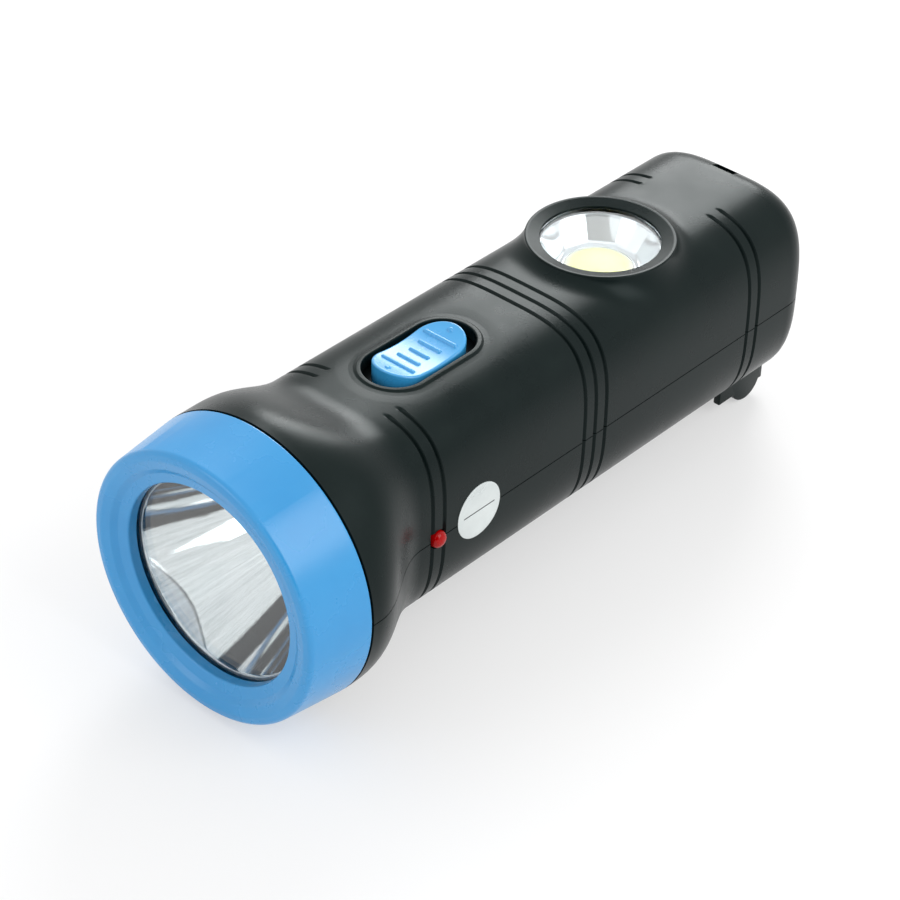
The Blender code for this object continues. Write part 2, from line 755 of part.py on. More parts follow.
def upper_bosses():
    """What the upper half keeps inside its hollow: bosses, seats and ribs."""
    kept = []
    for index, (across, along) in enumerate(screw_places()):
        kept.append(upright(f"upper boss {index}", BOSS_RADIUS, -OVERRUN, BODY_TOP, across, along))
    seat_top = BODY_TOP - WALL / 2
    kept.append(
        drum(
            "lamp seat",
            DISH_FLANGE_RADIUS + WALL,
            seat_top - DISH_BOTTOM,
            place(0, LAMP_ALONG, (seat_top + DISH_BOTTOM) / 2),
            Matrix(),
            end_radius=DISH_FLANGE_RADIUS + WALL - LAMP_SEAT_TAPER,
            steps=ROUND_STEPS,
        )
    )
    for side in (-1, 1):
        ear = LAMP_ALONG + side * EAR_OFFSET
        kept.append(
            upright(f"ear boss {side}", EAR_RADIUS, DISH_FLANGE_TOP + FIT, BODY_TOP, 0, ear)
        )
        middle = side * HOLD_DOWN_ACROSS
        for share in HOLD_DOWN_SHARES:
            along = BATTERY_FRONT + BATTERY_LENGTH * share
            kept.append(
                span_block(
                    f"hold down {side} {share}",
                    (middle - HOLD_DOWN_WIDTH / 2, middle + HOLD_DOWN_WIDTH / 2),
                    (along, along + CRADLE_RIB_THICKNESS),
                    (BATTERY_TOP + FIT, BODY_TOP),
                )
            )
    pocket_half = LANYARD_WIDTH / 2 + LANYARD_WALL
    pocket_reach = LANYARD_GAP / 2 + LANYARD_WALL
    kept.append(
        span_block(
            "lanyard pocket",
            (-pocket_half, pocket_half),
            (LANYARD_ALONG - pocket_reach, LANYARD_ALONG + pocket_reach),
            (BODY_TOP - LANYARD_DEPTH - LANYARD_GAP - LANYARD_WALL, BODY_TOP),
        )
    )
    return kept


def cut_upper_openings(shell):
    cut(
        shell,
        plate(
            "switch slot",
            stadium(SLOT_LENGTH, SLOT_WIDTH),
            (WALL + OVERRUN) * 2,
            place(0, SWITCH_ALONG, BODY_TOP),
            Matrix(),
        ),
        upright(
            "lamp opening",
            LAMP_OPENING_RADIUS,
            DISH_BOTTOM - OVERRUN,
            RIM_TOP + OVERRUN,
            0,
            LAMP_ALONG,
            steps=ROUND_STEPS,
        ),
        upright(
            "lamp bore",
            LAMP_BORE_RADIUS,
            DISH_BOTTOM - OVERRUN,
            LAMP_LIP_UNDERSIDE,
            0,
            LAMP_ALONG,
            steps=ROUND_STEPS,
        ),
        upright(
            "flange recess",
            DISH_FLANGE_RADIUS + FIT,
            DISH_BOTTOM - OVERRUN,
            DISH_FLANGE_TOP + FIT,
            0,
            LAMP_ALONG,
            steps=ROUND_STEPS,
        ),
        charge_light_hole("upper charge light hole"),
    )
    for index, (across, along) in enumerate(screw_places()):
        tip = SCREW_TIP + FIT
        cut(shell, upright(f"pilot {index}", SCREW_RADIUS + FIT, -OVERRUN, tip, across, along))
    for side in (-1, 1):
        ear = LAMP_ALONG + side * EAR_OFFSET
        ear_half = EAR_RADIUS + FIT
        cut(
            shell,
            span_block(
                f"ear recess {side}",
                (-ear_half, ear_half),
                (ear - ear_half, ear + ear_half),
                (DISH_BOTTOM - OVERRUN, DISH_FLANGE_TOP + FIT),
            ),
            upright(
                f"ear pilot {side}",
                LAMP_SCREW_RADIUS + FIT,
                DISH_FLANGE_TOP,
                DISH_FLANGE_TOP + LAMP_SCREW_GRIP + FIT,
                0,
                ear,
            ),
        )
    low = BODY_TOP - LANYARD_DEPTH
    front = LANYARD_ALONG - LANYARD_GAP / 2
    cut(
        shell,
        span_block(
            "lanyard slot down",
            (-LANYARD_WIDTH / 2, LANYARD_WIDTH / 2),
            (front, front + LANYARD_GAP),
            (low - LANYARD_GAP, BODY_TOP + OVERRUN),
        ),
        span_block(
            "lanyard slot back",
            (-LANYARD_WIDTH / 2, LANYARD_WIDTH / 2),
            (front, LENGTH + OVERRUN),
            (low - LANYARD_GAP, low),
        ),
    )


def cheek_outline():
    """Side view of a plug cheek, relative to the pivot."""
    radius = CHEEK_RADIUS
    step = math.degrees(math.asin((radius - CHEEK_STEP_RISE) / radius))
    rear_step = math.degrees(math.asin((radius - CHEEK_REAR_STEP_RISE) / radius))
    outline = [
        (-CHEEK_FRONT_REACH, PIVOT_DROP - CHEEK_ROOT_DROP),
        (-CHEEK_FRONT_REACH, CHEEK_STEP_RISE - radius),
    ]
    outline += arc((0, 0), radius, 180 + step, 360 - rear_step, 14)
    back = radius * math.cos(math.radians(rear_step)) + CHEEK_REAR_STEP
    outline += [
        (back, CHEEK_REAR_STEP_RISE - radius),
        (back, PIVOT_DROP - CHEEK_TAIL_DROP),
        (back - CHEEK_TAIL_RUN, PIVOT_DROP - CHEEK_TAIL_DROP),
        (0, PIVOT_DROP - CHEEK_ROOT_DROP),
    ]
    return outline


def pivot(across=0.0):
    return place(across, PIVOT_ALONG, -PIVOT_DROP)


def lower_shell():
    """Bottom half of the casing, with the plug recess, its cheeks and the screw seats."""
    shell = loft("lower_shell", outer_rings(), black_plastic())
    for side in (-1, 1):
        middle = side * (CHEEK_OUTSIDE - CHEEK_THICKNESS / 2)
        cheek = plate(f"cheek {side}", cheek_outline(), CHEEK_THICKNESS, pivot(middle), SIDE_VIEW)
        join(shell, cheek)
    hollow = loft("lower hollow", inner_rings())
    cut(hollow, *lower_ribs())
    cut(shell, hollow, half_space("above the parting line", True))
    for across in (-1, 1):
        for along in (BOARD_FRONT + POST_SIZE, BOARD_BACK - POST_SIZE):
            join(shell, board_post(across, along))
    cut_lower_openings(shell)
    return shell


def board_post(side, along):
    """A pillar that carries one corner of the control board."""
    middle = side * (BOARD_WIDTH / 2 - POST_INSET)
    half = POST_SIZE / 2
    floor = INNER_BOTTOM * (1 - (abs(middle) / BODY_HALF_WIDTH) ** BOTTOM_CORNER_POWER) ** (
        1 / BOTTOM_CORNER_POWER
    )
    return span_block(
        f"board post {side} {along}",
        (middle - half, middle + half),
        (along - half, along + half),
        (-floor, BOARD_BOTTOM - FIT),
    )


def lower_ribs():
    """What the lower half keeps inside its hollow: bosses, ribs and the walls round the plug."""
    kept = []
    for index, (across, along) in enumerate(screw_places()):
        kept.append(
            upright(f"lower boss {index}", BOSS_RADIUS, -BODY_BOTTOM, OVERRUN, across, along)
        )
    rib_half = MAIN_BOARD_RIB_WIDTH / 2
    rib_front = MAIN_BOARD_BACK + FIT
    kept.append(
        span_block(
            "main board rib",
            (-rib_half, rib_half),
            (rib_front, rib_front + CRADLE_RIB_THICKNESS),
            (-BODY_BOTTOM, -MAIN_BOARD_RIB_REACH),
        )
    )
    for share in CRADLE_RIB_SHARES:
        along = BATTERY_FRONT + BATTERY_LENGTH * share
        kept.append(
            span_block(
                f"cradle rib {share}",
                (-CRADLE_RIB_WIDTH / 2, CRADLE_RIB_WIDTH / 2),
                (along, along + CRADLE_RIB_THICKNESS),
                (-BODY_BOTTOM, -BATTERY_DROP - FIT),
            )
        )
    pocket_half = CHEEK_INSIDE + POCKET_WALL
    kept.append(
        span_block(
            "plug pocket walls",
            (-pocket_half, pocket_half),
            (POCKET_FRONT - POCKET_WALL, LENGTH),
            (-BODY_BOTTOM, -POCKET_ROOF_DROP + POCKET_WALL),
        )
    )
    for side in (-1, 1):
        middle = side * BLADE_ACROSS
        half = CHANNEL_HALF_WIDTH + POCKET_WALL
        kept.append(
            span_block(
                f"blade channel walls {side}",
                (middle - half, middle + half),
                (CHANNEL_FRONT - POCKET_WALL, POCKET_FRONT),
                (-BODY_BOTTOM, CHANNEL_ROOF + POCKET_WALL),
            )
        )
    return kept


def cut_lower_openings(shell):
    below = -PIVOT_DROP - HEAD_RADIUS
    cut(
        shell,
        span_block(
            "plug pocket",
            (-CHEEK_INSIDE, CHEEK_INSIDE),
            (POCKET_FRONT, POCKET_BACK),
            (below, -POCKET_ROOF_DROP),
        ),
        span_block(
            "plug pocket mouth",
            (-CHEEK_INSIDE, CHEEK_INSIDE),
            (POCKET_FRONT, LENGTH + OVERRUN),
            (below, ROTOR_RADIUS - PIVOT_DROP + FIT),
        ),
        drum(
            "axle bore",
            AXLE_RADIUS + FIT,
            2 * (CHEEK_INSIDE + AXLE_SEAT + FIT),
            pivot(),
            ACROSS_TORCH,
        ),
        charge_light_hole("lower charge light hole"),
    )
    for side in (-1, 1):
        middle = side * BLADE_ACROSS
        slot_half = CONTACT_WIDTH / 2 + FIT
        front = PIVOT_ALONG + ROTOR_BLOCK_BACK
        cut(
            shell,
            span_block(
                f"blade channel {side}",
                (middle - CHANNEL_HALF_WIDTH, middle + CHANNEL_HALF_WIDTH),
                (CHANNEL_FRONT, POCKET_FRONT + FIT),
                (below, CHANNEL_ROOF),
            ),
            span_block(
                f"contact slot {side}",
                (middle - slot_half, middle + slot_half),
                (front, front + CONTACT_THICKNESS + 2 * FIT),
                (-POCKET_ROOF_DROP - FIT, -POCKET_ROOF_DROP + POCKET_WALL + OVERRUN),
            ),
        )
    for index, (across, along) in enumerate(screw_places()):
        cut(
            shell,
            upright(
                f"screw hole {index}", SCREW_RADIUS + FIT, -BODY_BOTTOM, 2 * OVERRUN, across, along
            ),
            upright(
                f"head seat {index}",
                SCREW_HEAD_RADIUS + FIT,
                -BODY_BOTTOM - OVERRUN,
                -SCREW_SEAT_DROP,
                across,
                along,
            ),
        )


def bezel_ring():
    """Blue ring that holds the lens: dished front, rounded crest, slightly flared side."""
    bore = SPIGOT_RADIUS + FIT
    rounding = BEZEL_EDGE_ROUNDING
    crest = arc((BEZEL_FRONT_RADIUS - rounding, rounding), rounding, 0, -90, 5)
    profile = [(bore, BEZEL_LENGTH), (HEAD_RADIUS, BEZEL_LENGTH)] + crest
    profile += [
        (LIP_RADIUS + LIP_LEDGE_WIDTH, LIP_LEDGE_SETBACK),
        (LIP_RADIUS + FIT, LIP_LEDGE_SETBACK),
        (LIP_RADIUS, LIP_SETBACK),
        (LIP_RADIUS, BEZEL_FLANGE_BACK),
        (bore, BEZEL_FLANGE_BACK),
    ]
    return turned(
        "bezel_ring", profile, place(0, 0, 0), ALONG_TORCH, blue_plastic(), closed=True
    )


def front_lens():
    return drum(
        "front_lens",
        LENS_RADIUS,
        LENS_THICKNESS,
        place(0, LENS_FRONT + LENS_THICKNESS / 2, 0),
        ALONG_TORCH,
        clear_plastic(),
        steps=ROUND_STEPS,
    )


def reflector_radius(share):
    """Radius of the parabolic cup: 0 at the throat, 1 at the mouth."""
    throat = REFLECTOR_THROAT_RADIUS**2
    return math.sqrt(throat + (REFLECTOR_MOUTH_RADIUS**2 - throat) * share)


def main_reflector():
    """Plated parabolic cup with a flange that sits on the front edge of the casing."""
    steps = 9
    cup = [
        (reflector_radius(index / steps), REFLECTOR_END - REFLECTOR_DEPTH * index / steps)
        for index in range(steps + 1)
    ]
    outside = [
        (radius + REFLECTOR_WALL, height)
        for radius, height in cup
        if height > REFLECTOR_FLANGE_BACK
    ]
    profile = outside + [
        (outside[-1][0], REFLECTOR_FLANGE_BACK),
        (LENS_RADIUS, REFLECTOR_FLANGE_BACK),
        (LENS_RADIUS, REFLECTOR_FRONT),
    ]
    profile += list(reversed(cup))
    return turned(
        "main_reflector",
        profile,
        place(0, 0, 0),
        ALONG_TORCH,
        chrome_plating(),
        steps=28,
        closed=True,
    )


def main_led():
    """Round emitter with a domed lens, standing in the throat of the reflector."""
    front = MAIN_BOARD_FRONT - FIT
    base_front = front - MAIN_LED_BASE_LENGTH
    profile = [(0, front), (MAIN_LED_BASE_RADIUS, front), (MAIN_LED_BASE_RADIUS, base_front)]
    profile += arc((0, base_front), MAIN_LED_DOME_RADIUS, 0, -90, 6)[:-1]
    profile += [(0, base_front - MAIN_LED_DOME_RADIUS)]
    return turned(
        "main_led",
        profile,
        place(0, 0, 0),
        ALONG_TORCH,
        resin("led_resin", (0.9, 0.88, 0.62)),
        steps=SMALL_STEPS,
    )


def main_led_board():
    return drum(
        "main_led_board",
        MAIN_BOARD_RADIUS,
        MAIN_BOARD_THICKNESS,
        place(0, MAIN_BOARD_FRONT + MAIN_BOARD_THICKNESS / 2, 0),
        ALONG_TORCH,
        aluminium_board(),
        steps=24,
    )


def switch_slider():
    """Blue thumb slider: scooped top with cross ribs, wide flange and a fork for the lever."""
    top = BODY_TOP + SLIDER_PROUD
    origin = place(0, SWITCH_ALONG, 0)

    def local(above):
        return origin + AXIS_Z * above

    stem_height = top - SLIDER_FLANGE_BOTTOM
    slider = plate(
        "switch_slider",
        stadium(SLIDER_LENGTH, SLIDER_WIDTH),
        stem_height,
        local(SLIDER_FLANGE_BOTTOM + stem_height / 2),
        Matrix(),
        blue_plastic(),
    )
    half = SLIDER_LENGTH / 2
    scoop_radius = (half * half + SLIDER_SCOOP_DEPTH**2) / (2 * SLIDER_SCOOP_DEPTH)
    scoop = drum(
        "thumb scoop",
        scoop_radius,
        SLIDER_WIDTH + 2 * OVERRUN,
        local(top - SLIDER_SCOOP_DEPTH + scoop_radius),
        ACROSS_TORCH,
        steps=192,
    )
    cut(slider, scoop)
    for index, length in enumerate(RIB_LENGTHS):
        along = (index - len(RIB_LENGTHS) // 2) * RIB_SPACING
        floor = top - SLIDER_SCOOP_DEPTH * (1 - (along / half) ** 2)
        centre = local(floor) + AXIS_Y * along
        rib = plate(
            f"rib {index}", stadium(length, RIB_WIDTH, 4), RIB_HEIGHT * 2, centre, quarter_turn()
        )
        join(slider, rib)
    for side in (-1, 1):
        floor = top - SLIDER_SCOOP_DEPTH * (1 - (DOT_OFFSET / half) ** 2)
        centre = local(floor) + AXIS_Y * side * DOT_OFFSET
        join(slider, drum(f"dot {side}", DOT_RADIUS, 2 * RIB_HEIGHT, centre, Matrix(), steps=TINY_STEPS))
    flange_grow = 2 * (SLIDER_TRAVEL + SLIDER_FLANGE_OVERLAP)
    flange = plate(
        "slider flange",
        stadium(SLOT_LENGTH + flange_grow, SLOT_WIDTH + 2 * SLIDER_FLANGE_OVERLAP),
        SLIDER_FLANGE_THICKNESS,
        local(SLIDER_FLANGE_BOTTOM + SLIDER_FLANGE_THICKNESS / 2),
        Matrix(),
    )
    fork = block(
        "slider fork",
        (FORK_WIDTH, FORK_LENGTH, FORK_DEPTH + SLIDER_FLANGE_THICKNESS),
        local(FORK_BOTTOM + (FORK_DEPTH + SLIDER_FLANGE_THICKNESS) / 2),
    )
    join(slider, flange, fork)
    cut(
        slider,
        block(
            "fork gap",
            (LEVER_WIDTH + 2 * FIT, LEVER_LENGTH + 2 * FIT, 2 * (LEVER_ENGAGEMENT + FIT)),
            local(FORK_BOTTOM),
        ),
    )
    return slider


def quarter_turn():
    return Matrix.Rotation(math.pi / 2, 4, "Z")


def switch_body():
    body = span_block(
        "switch_body",
        (-SWITCH_BODY_WIDTH / 2, SWITCH_BODY_WIDTH / 2),
        (SWITCH_ALONG - SWITCH_BODY_LENGTH / 2, SWITCH_ALONG + SWITCH_BODY_LENGTH / 2),
        (BOARD_TOP + FIT, SWITCH_BODY_TOP),
        zinc_steel(),
    )
    slot_half = LEVER_LENGTH / 2 + SLIDER_TRAVEL + FIT
    cut(
        body,
        span_block(
            "lever slot",
            (-LEVER_WIDTH / 2 - FIT, LEVER_WIDTH / 2 + FIT),
            (SWITCH_ALONG - slot_half, SWITCH_ALONG + slot_half),
            (LEVER_TOP - LEVER_HEIGHT - FIT, SWITCH_BODY_TOP + OVERRUN),
        ),
    )
    return body


def switch_lever():
    return span_block(
        "switch_lever",
        (-LEVER_WIDTH / 2, LEVER_WIDTH / 2),
        (SWITCH_ALONG - LEVER_LENGTH / 2, SWITCH_ALONG + LEVER_LENGTH / 2),
        (LEVER_TOP - LEVER_HEIGHT, LEVER_TOP),
        dark_plastic(),
    )


def lamp_dish():
    """White plated dish with a flange under the casing and two screw ears."""
    profile = [
        (DISH_RADIUS + DISH_WALL, DISH_TOP),
        (DISH_RADIUS + DISH_WALL, DISH_FLANGE_TOP),
        (DISH_FLANGE_RADIUS, DISH_FLANGE_TOP),
        (DISH_FLANGE_RADIUS, DISH_BOTTOM),
        (DISH_HOLE_RADIUS, DISH_BOTTOM),
        (DISH_HOLE_RADIUS, DISH_BOTTOM + DISH_FLOOR),
        (DISH_FLOOR_RADIUS, DISH_BOTTOM + DISH_FLOOR),
        (DISH_RADIUS, DISH_TOP),
    ]
    dish = turned(
        "cob_reflector",
        profile,
        place(0, LAMP_ALONG, 0),
        Matrix(),
        white_plating(),
        closed=True,
    )
    for side in (-1, 1):
        ear = LAMP_ALONG + side * EAR_OFFSET
        low = DISH_BOTTOM
        neck = side * (EAR_OFFSET - DISH_FLANGE_RADIUS + DISH_WALL)
        join(
            dish,
            upright(f"ear {side}", EAR_RADIUS, low, DISH_FLANGE_TOP, 0, ear),
            span_block(
                f"ear neck {side}",
                (-EAR_RADIUS, EAR_RADIUS),
                tuple(sorted((ear, ear - neck))),
                (low, DISH_FLANGE_TOP),
            ),
        )
        cut(
            dish,
            upright(
                f"ear hole {side}",
                LAMP_SCREW_RADIUS + FIT,
                low - OVERRUN,
                DISH_FLANGE_TOP + OVERRUN,
                0,
                ear,
            ),
        )
    return dish


def lamp_pieces():
    upright(
        "cob_lens",
        LAMP_LENS_RADIUS,
        LAMP_LENS_TOP - LAMP_LENS_THICKNESS,
        LAMP_LENS_TOP,
        0,
        LAMP_ALONG,
        steps=ROUND_STEPS,
        finish=clear_plastic(),
    )
    board_top = DISH_BOTTOM - FIT
    upright(
        "cob_board",
        LAMP_BOARD_RADIUS,
        board_top - LAMP_BOARD_THICKNESS,
        board_top,
        0,
        LAMP_ALONG,
        steps=24,
        finish=aluminium_board(),
    )
    upright(
        "cob_phosphor",
        PHOSPHOR_RADIUS,
        board_top + FIT,
        board_top + FIT + PHOSPHOR_THICKNESS,
        0,
        LAMP_ALONG,
        steps=32,
        finish=phosphor_yellow(),
    )
    for name, side in (("cob_screw_front", -1), ("cob_screw_rear", 1)):
        head_top = DISH_BOTTOM - FIT
        tip = DISH_FLANGE_TOP + LAMP_SCREW_GRIP
        profile = [
            (0, tip),
            (LAMP_SCREW_RADIUS, tip - LAMP_SCREW_RADIUS),
            (LAMP_SCREW_RADIUS, head_top),
            (LAMP_SCREW_HEAD_RADIUS, head_top),
            (LAMP_SCREW_HEAD_RADIUS, head_top - LAMP_SCREW_HEAD_HEIGHT),
            (0, head_top - LAMP_SCREW_HEAD_HEIGHT),
        ]
        turned(
            name,
            profile,
            place(0, LAMP_ALONG + side * EAR_OFFSET, 0),
            Matrix(),
            zinc_steel(),
            steps=SMALL_STEPS,
        )


def case_screws():
    """Four cross-head screws, driven up from below."""
    seat = -SCREW_SEAT_DROP - FIT
    bottom = seat - SCREW_HEAD_HEIGHT
    for index, (across, along) in enumerate(screw_places()):
        profile = [
            (0, SCREW_TIP),
            (SCREW_RADIUS, SCREW_TIP - SCREW_RADIUS),
            (SCREW_RADIUS, seat),
            (SCREW_HEAD_RADIUS, seat),
            (SCREW_HEAD_RADIUS, bottom),
            (0, bottom),
        ]
        screw = turned(
            f"case_screw_{index + 1}",
            profile,
            place(across, along, 0),
            Matrix(),
            zinc_steel(),
            steps=SMALL_STEPS,
        )
        for turn, sizes in enumerate(
            (
                (2 * SCREW_RECESS_HALF_WIDTH, SCREW_RECESS_WIDTH, 2 * SCREW_RECESS_DEPTH),
                (SCREW_RECESS_WIDTH, 2 * SCREW_RECESS_HALF_WIDTH, 2 * SCREW_RECESS_DEPTH),
            )
        ):
            cut(screw, block(f"cross {index} {turn}", sizes, place(across, along, bottom)))


def charge_light():
    """Red domed charge light, lying across the torch in the parting line."""
    tip = BODY_HALF_WIDTH + CHARGE_LIGHT_PROUD
    shoulder = tip - CHARGE_LIGHT_RADIUS
    flange_front = BODY_HALF_WIDTH - WALL - FIT
    back = flange_front - CHARGE_LIGHT_FLANGE
    profile = list(reversed(arc((0, shoulder), CHARGE_LIGHT_RADIUS, 0, 90, 6)))
    profile[0] = (0, tip)
    profile += [
        (CHARGE_LIGHT_RADIUS, flange_front),
        (CHARGE_LIGHT_FLANGE_RADIUS, flange_front),
        (CHARGE_LIGHT_FLANGE_RADIUS, back),
        (0, back),
    ]
    turned(
        "charge_led",
        profile,
        place(0, CHARGE_LIGHT_ALONG, 0),
        ACROSS_TORCH,
        red_epoxy(),
        steps=SMALL_STEPS,
    )
    return back - FIT


def control_board():
    return span_block(
        "control_board",
        (-BOARD_WIDTH / 2, BOARD_WIDTH / 2),
        (BOARD_FRONT, BOARD_BACK),
        (BOARD_BOTTOM, BOARD_TOP),
        board_laminate(),
    )


def axial_part(name, radius, length, centre, finish):
    """A small component with a lead at each end, lying along the torch."""
    half = length / 2
    reach = half + AXIAL_LEAD_LENGTH
    profile = [
        (0, reach),
        (AXIAL_LEAD_RADIUS, reach),
        (AXIAL_LEAD_RADIUS, half),
        (radius, half),
        (radius, -half),
        (AXIAL_LEAD_RADIUS, -half),
        (AXIAL_LEAD_RADIUS, -reach),
        (0, -reach),
    ]
    turned(name, profile, centre, ALONG_TORCH, finish, steps=TINY_STEPS)


def board_parts():
    middle = (BOARD_FRONT + BOARD_BACK) / 2
    span_block(
        "dropper_capacitor",
        (-CAPACITOR_WIDTH / 2, CAPACITOR_WIDTH / 2),
        (middle - CAPACITOR_LENGTH / 2, middle + CAPACITOR_LENGTH / 2),
        (BOARD_BOTTOM - FIT - CAPACITOR_HEIGHT, BOARD_BOTTOM - FIT),
        resin("capacitor_resin", (0.32, 0.05, 0.03)),
        rounding=CAPACITOR_ROUNDING,
    )
    quarter = BOARD_LENGTH / 4
    number = 0
    for across in (-DIODE_ACROSS, DIODE_ACROSS):
        for along in (middle - quarter, middle + quarter):
            number += 1
            axial_part(
                f"rectifier_diode_{number}",
                DIODE_RADIUS,
                DIODE_LENGTH,
                place(across, along, BOARD_BOTTOM - FIT - DIODE_RADIUS),
                dark_plastic(),
            )
    for name, side in (("bleed_resistor", -1), ("limit_resistor", 1)):
        axial_part(
            name,
            RESISTOR_RADIUS,
            RESISTOR_LENGTH,
            place(side * RESISTOR_ACROSS, middle, BOARD_TOP + FIT + RESISTOR_RADIUS),
            resin("resistor_lacquer", (0.62, 0.47, 0.28)),
        )


def battery():
    """Sealed block battery with two flat terminals on its front."""
    span_block(
        "battery",
        (-BATTERY_WIDTH / 2, BATTERY_WIDTH / 2),
        (BATTERY_FRONT, BATTERY_FRONT + BATTERY_LENGTH),
        (-BATTERY_DROP, BATTERY_TOP),
        resin("battery_case", (0.09, 0.10, 0.12)),
        rounding=BATTERY_ROUNDING,
    )
    back = BATTERY_FRONT - FIT
    for name, side in (("battery_tab_plus", 1), ("battery_tab_minus", -1)):
        centre = side * TAB_ACROSS
        span_block(
            name,
            (centre - TAB_WIDTH / 2, centre + TAB_WIDTH / 2),
            (back - TAB_THICKNESS, back),
            (TAB_ABOVE - TAB_HEIGHT / 2, TAB_ABOVE + TAB_HEIGHT / 2),
            plated_brass(),
        )
    return back - TAB_THICKNESS - FIT


def rotor_outline():
    """Side view of the plug rotor, relative to its axle, with the blades folded forward."""
    flat = math.degrees(math.acos(ROTOR_BLOCK_BACK / ROTOR_RADIUS))
    outline = arc((0, 0), ROTOR_RADIUS, 180, 360 + flat, 20)
    outline += [(ROTOR_BLOCK_BACK, ROTOR_BLOCK_RISE), (-ROTOR_RADIUS, ROTOR_BLOCK_RISE)]
    return outline


def blade_outline():
    """Side view of a plug blade: flat pin, root in the rotor, and a tail that meets its contact."""
    tip = -ROTOR_RADIUS - BLADE_LENGTH
    root = -ROTOR_RADIUS + BLADE_ROOT
    tail = [(ROTOR_RADIUS * along, ROTOR_RADIUS * above) for along, above in BLADE_TAIL_SHARES]
    return [
        (tip + BLADE_TIP_CHAMFER, BLADE_RISE),
        (tail[0][0], BLADE_RISE),
        *tail,
        (root, ROTOR_RADIUS * BLADE_NECK_SHARE),
        (root, BLADE_TOP),
        (tip + BLADE_TIP_CHAMFER, BLADE_TOP),
        (tip, BLADE_TOP - BLADE_TIP_CHAMFER),
        (tip, BLADE_RISE + BLADE_TIP_CHAMFER),
    ]


def plug():
    """Rotor with two flat blades on a steel axle, and the spring contacts above it."""
    rotor = plate(
        "plug_hub", rotor_outline(), 2 * ROTOR_HALF_WIDTH, pivot(), SIDE_VIEW, dark_plastic()
    )
    cut(
        rotor,
        drum(
            "rotor bore",
            AXLE_RADIUS + FIT,
            2 * (ROTOR_HALF_WIDTH + OVERRUN),
            pivot(),
            ACROSS_TORCH,
        ),
    )
    drum(
        "plug_axle",
        AXLE_RADIUS,
        2 * (CHEEK_INSIDE + AXLE_SEAT),
        pivot(),
        ACROSS_TORCH,
        zinc_steel(),
    )
    for name, side in (("left", -1), ("right", 1)):
        middle = side * BLADE_ACROSS
        outline = blade_outline()
        room = plate(
            f"blade room {name}",
            grown(outline, FIT),
            BLADE_THICKNESS + 2 * FIT,
            pivot(middle),
            SIDE_VIEW,
        )
        cut(rotor, room)
        blade = plate(
            f"plug_blade_{name}", outline, BLADE_THICKNESS, pivot(middle), SIDE_VIEW, plated_brass()
        )
        hole = place(
            middle,
            PIVOT_ALONG - ROTOR_RADIUS - BLADE_HOLE_REACH,
            BLADE_RISE + BLADE_WIDTH / 2 - PIVOT_DROP,
        )
        cut(
            blade,
            drum(f"blade hole {name}", BLADE_HOLE_RADIUS, 2 * BLADE_THICKNESS, hole, ACROSS_TORCH),
        )
        contact(name, middle)


def contact(name, middle):
    """A bent strip: its leg comes down behind the rotor, its tab lies on the pocket roof."""
    back = ROTOR_BLOCK_BACK + FIT + CONTACT_THICKNESS
    front = back - CONTACT_THICKNESS
    low = math.sqrt((ROTOR_RADIUS + FIT) ** 2 - front**2)
    tab_low = PIVOT_DROP - POCKET_ROOF_DROP + POCKET_WALL + FIT
    tab_top = tab_low + CONTACT_THICKNESS
    outline = [
        (front, low),
        (back, low),
        (back, tab_top),
        (front - CONTACT_TAB, tab_top),
        (front - CONTACT_TAB, tab_low),
        (front, tab_low),
    ]
    plate(f"plug_contact_{name}", outline, CONTACT_WIDTH, pivot(middle), SIDE_VIEW, plated_brass())


def smooth_path(points):
    """Evenly spaced points on a smooth curve through the given ones."""
    knots = [Vector(point) for point in points]
    padded = [2 * knots[0] - knots[1]] + knots + [2 * knots[-1] - knots[-2]]
    path = [knots[0]]
    for index in range(1, len(padded) - 2):
        before, start, end, after = padded[index - 1 : index + 3]
        count = max(1, round((end - start).length / WIRE_STEP))
        for step in range(1, count + 1):
            share = step / count
            path.append(
                start
                + (end - before) * (share / 2)
                + (2 * before - 5 * start + 4 * end - after) * (share**2 / 2)
                + (3 * start - before - 3 * end + after) * (share**3 / 2)
            )
    return path


def wire(name, points, radius, colour):
    """A round wire along a smooth path."""
    curve = bpy.data.curves.new(name, "CURVE")
    curve.dimensions = "3D"
    curve.bevel_depth = radius
    curve.bevel_resolution = 2
    curve.use_fill_caps = True
    path = smooth_path(points)
    spline = curve.splines.new("POLY")
    spline.points.add(len(path) - 1)
    for point, position in zip(spline.points, path):
        point.co = (*position, 1)
    mesh = curve_to_mesh(name, curve, Matrix())
    mesh.shade_smooth()
    add_object(name, mesh, resin(f"{colour[0]}_insulation", colour[1]))


RED = ("red", (0.55, 0.02, 0.02))
BLACK = ("black", (0.02, 0.02, 0.02))
BARE = ("tinned", (0.6, 0.6, 0.58))


def lamp_wires():
    """Wires from the main lamp to the front edge of the control board."""
    start = MAIN_BOARD_BACK + FIT
    end = BOARD_FRONT - FIT
    middle = (start + end) / 2
    board = (BOARD_TOP + BOARD_BOTTOM) / 2
    for name, side, colour in (("plus", 1, RED), ("minus", -1, BLACK)):
        across = side * MAIN_BOARD_RADIUS / 3
        above = MAIN_BOARD_RADIUS / 3
        wire(
            f"main_led_wire_{name}",
            [
                place(across, start, above),
                place(across, start + 2 * WIRE_RADIUS, above),
                place(across * WIRE_SPREAD_SHARES[1], middle, (above + board) / 2),
                place(across * WIRE_SPREAD_SHARES[2], end - 2 * WIRE_RADIUS, board),
                place(across * WIRE_SPREAD_SHARES[2], end, board),
            ],
            WIRE_RADIUS,
            colour,
        )


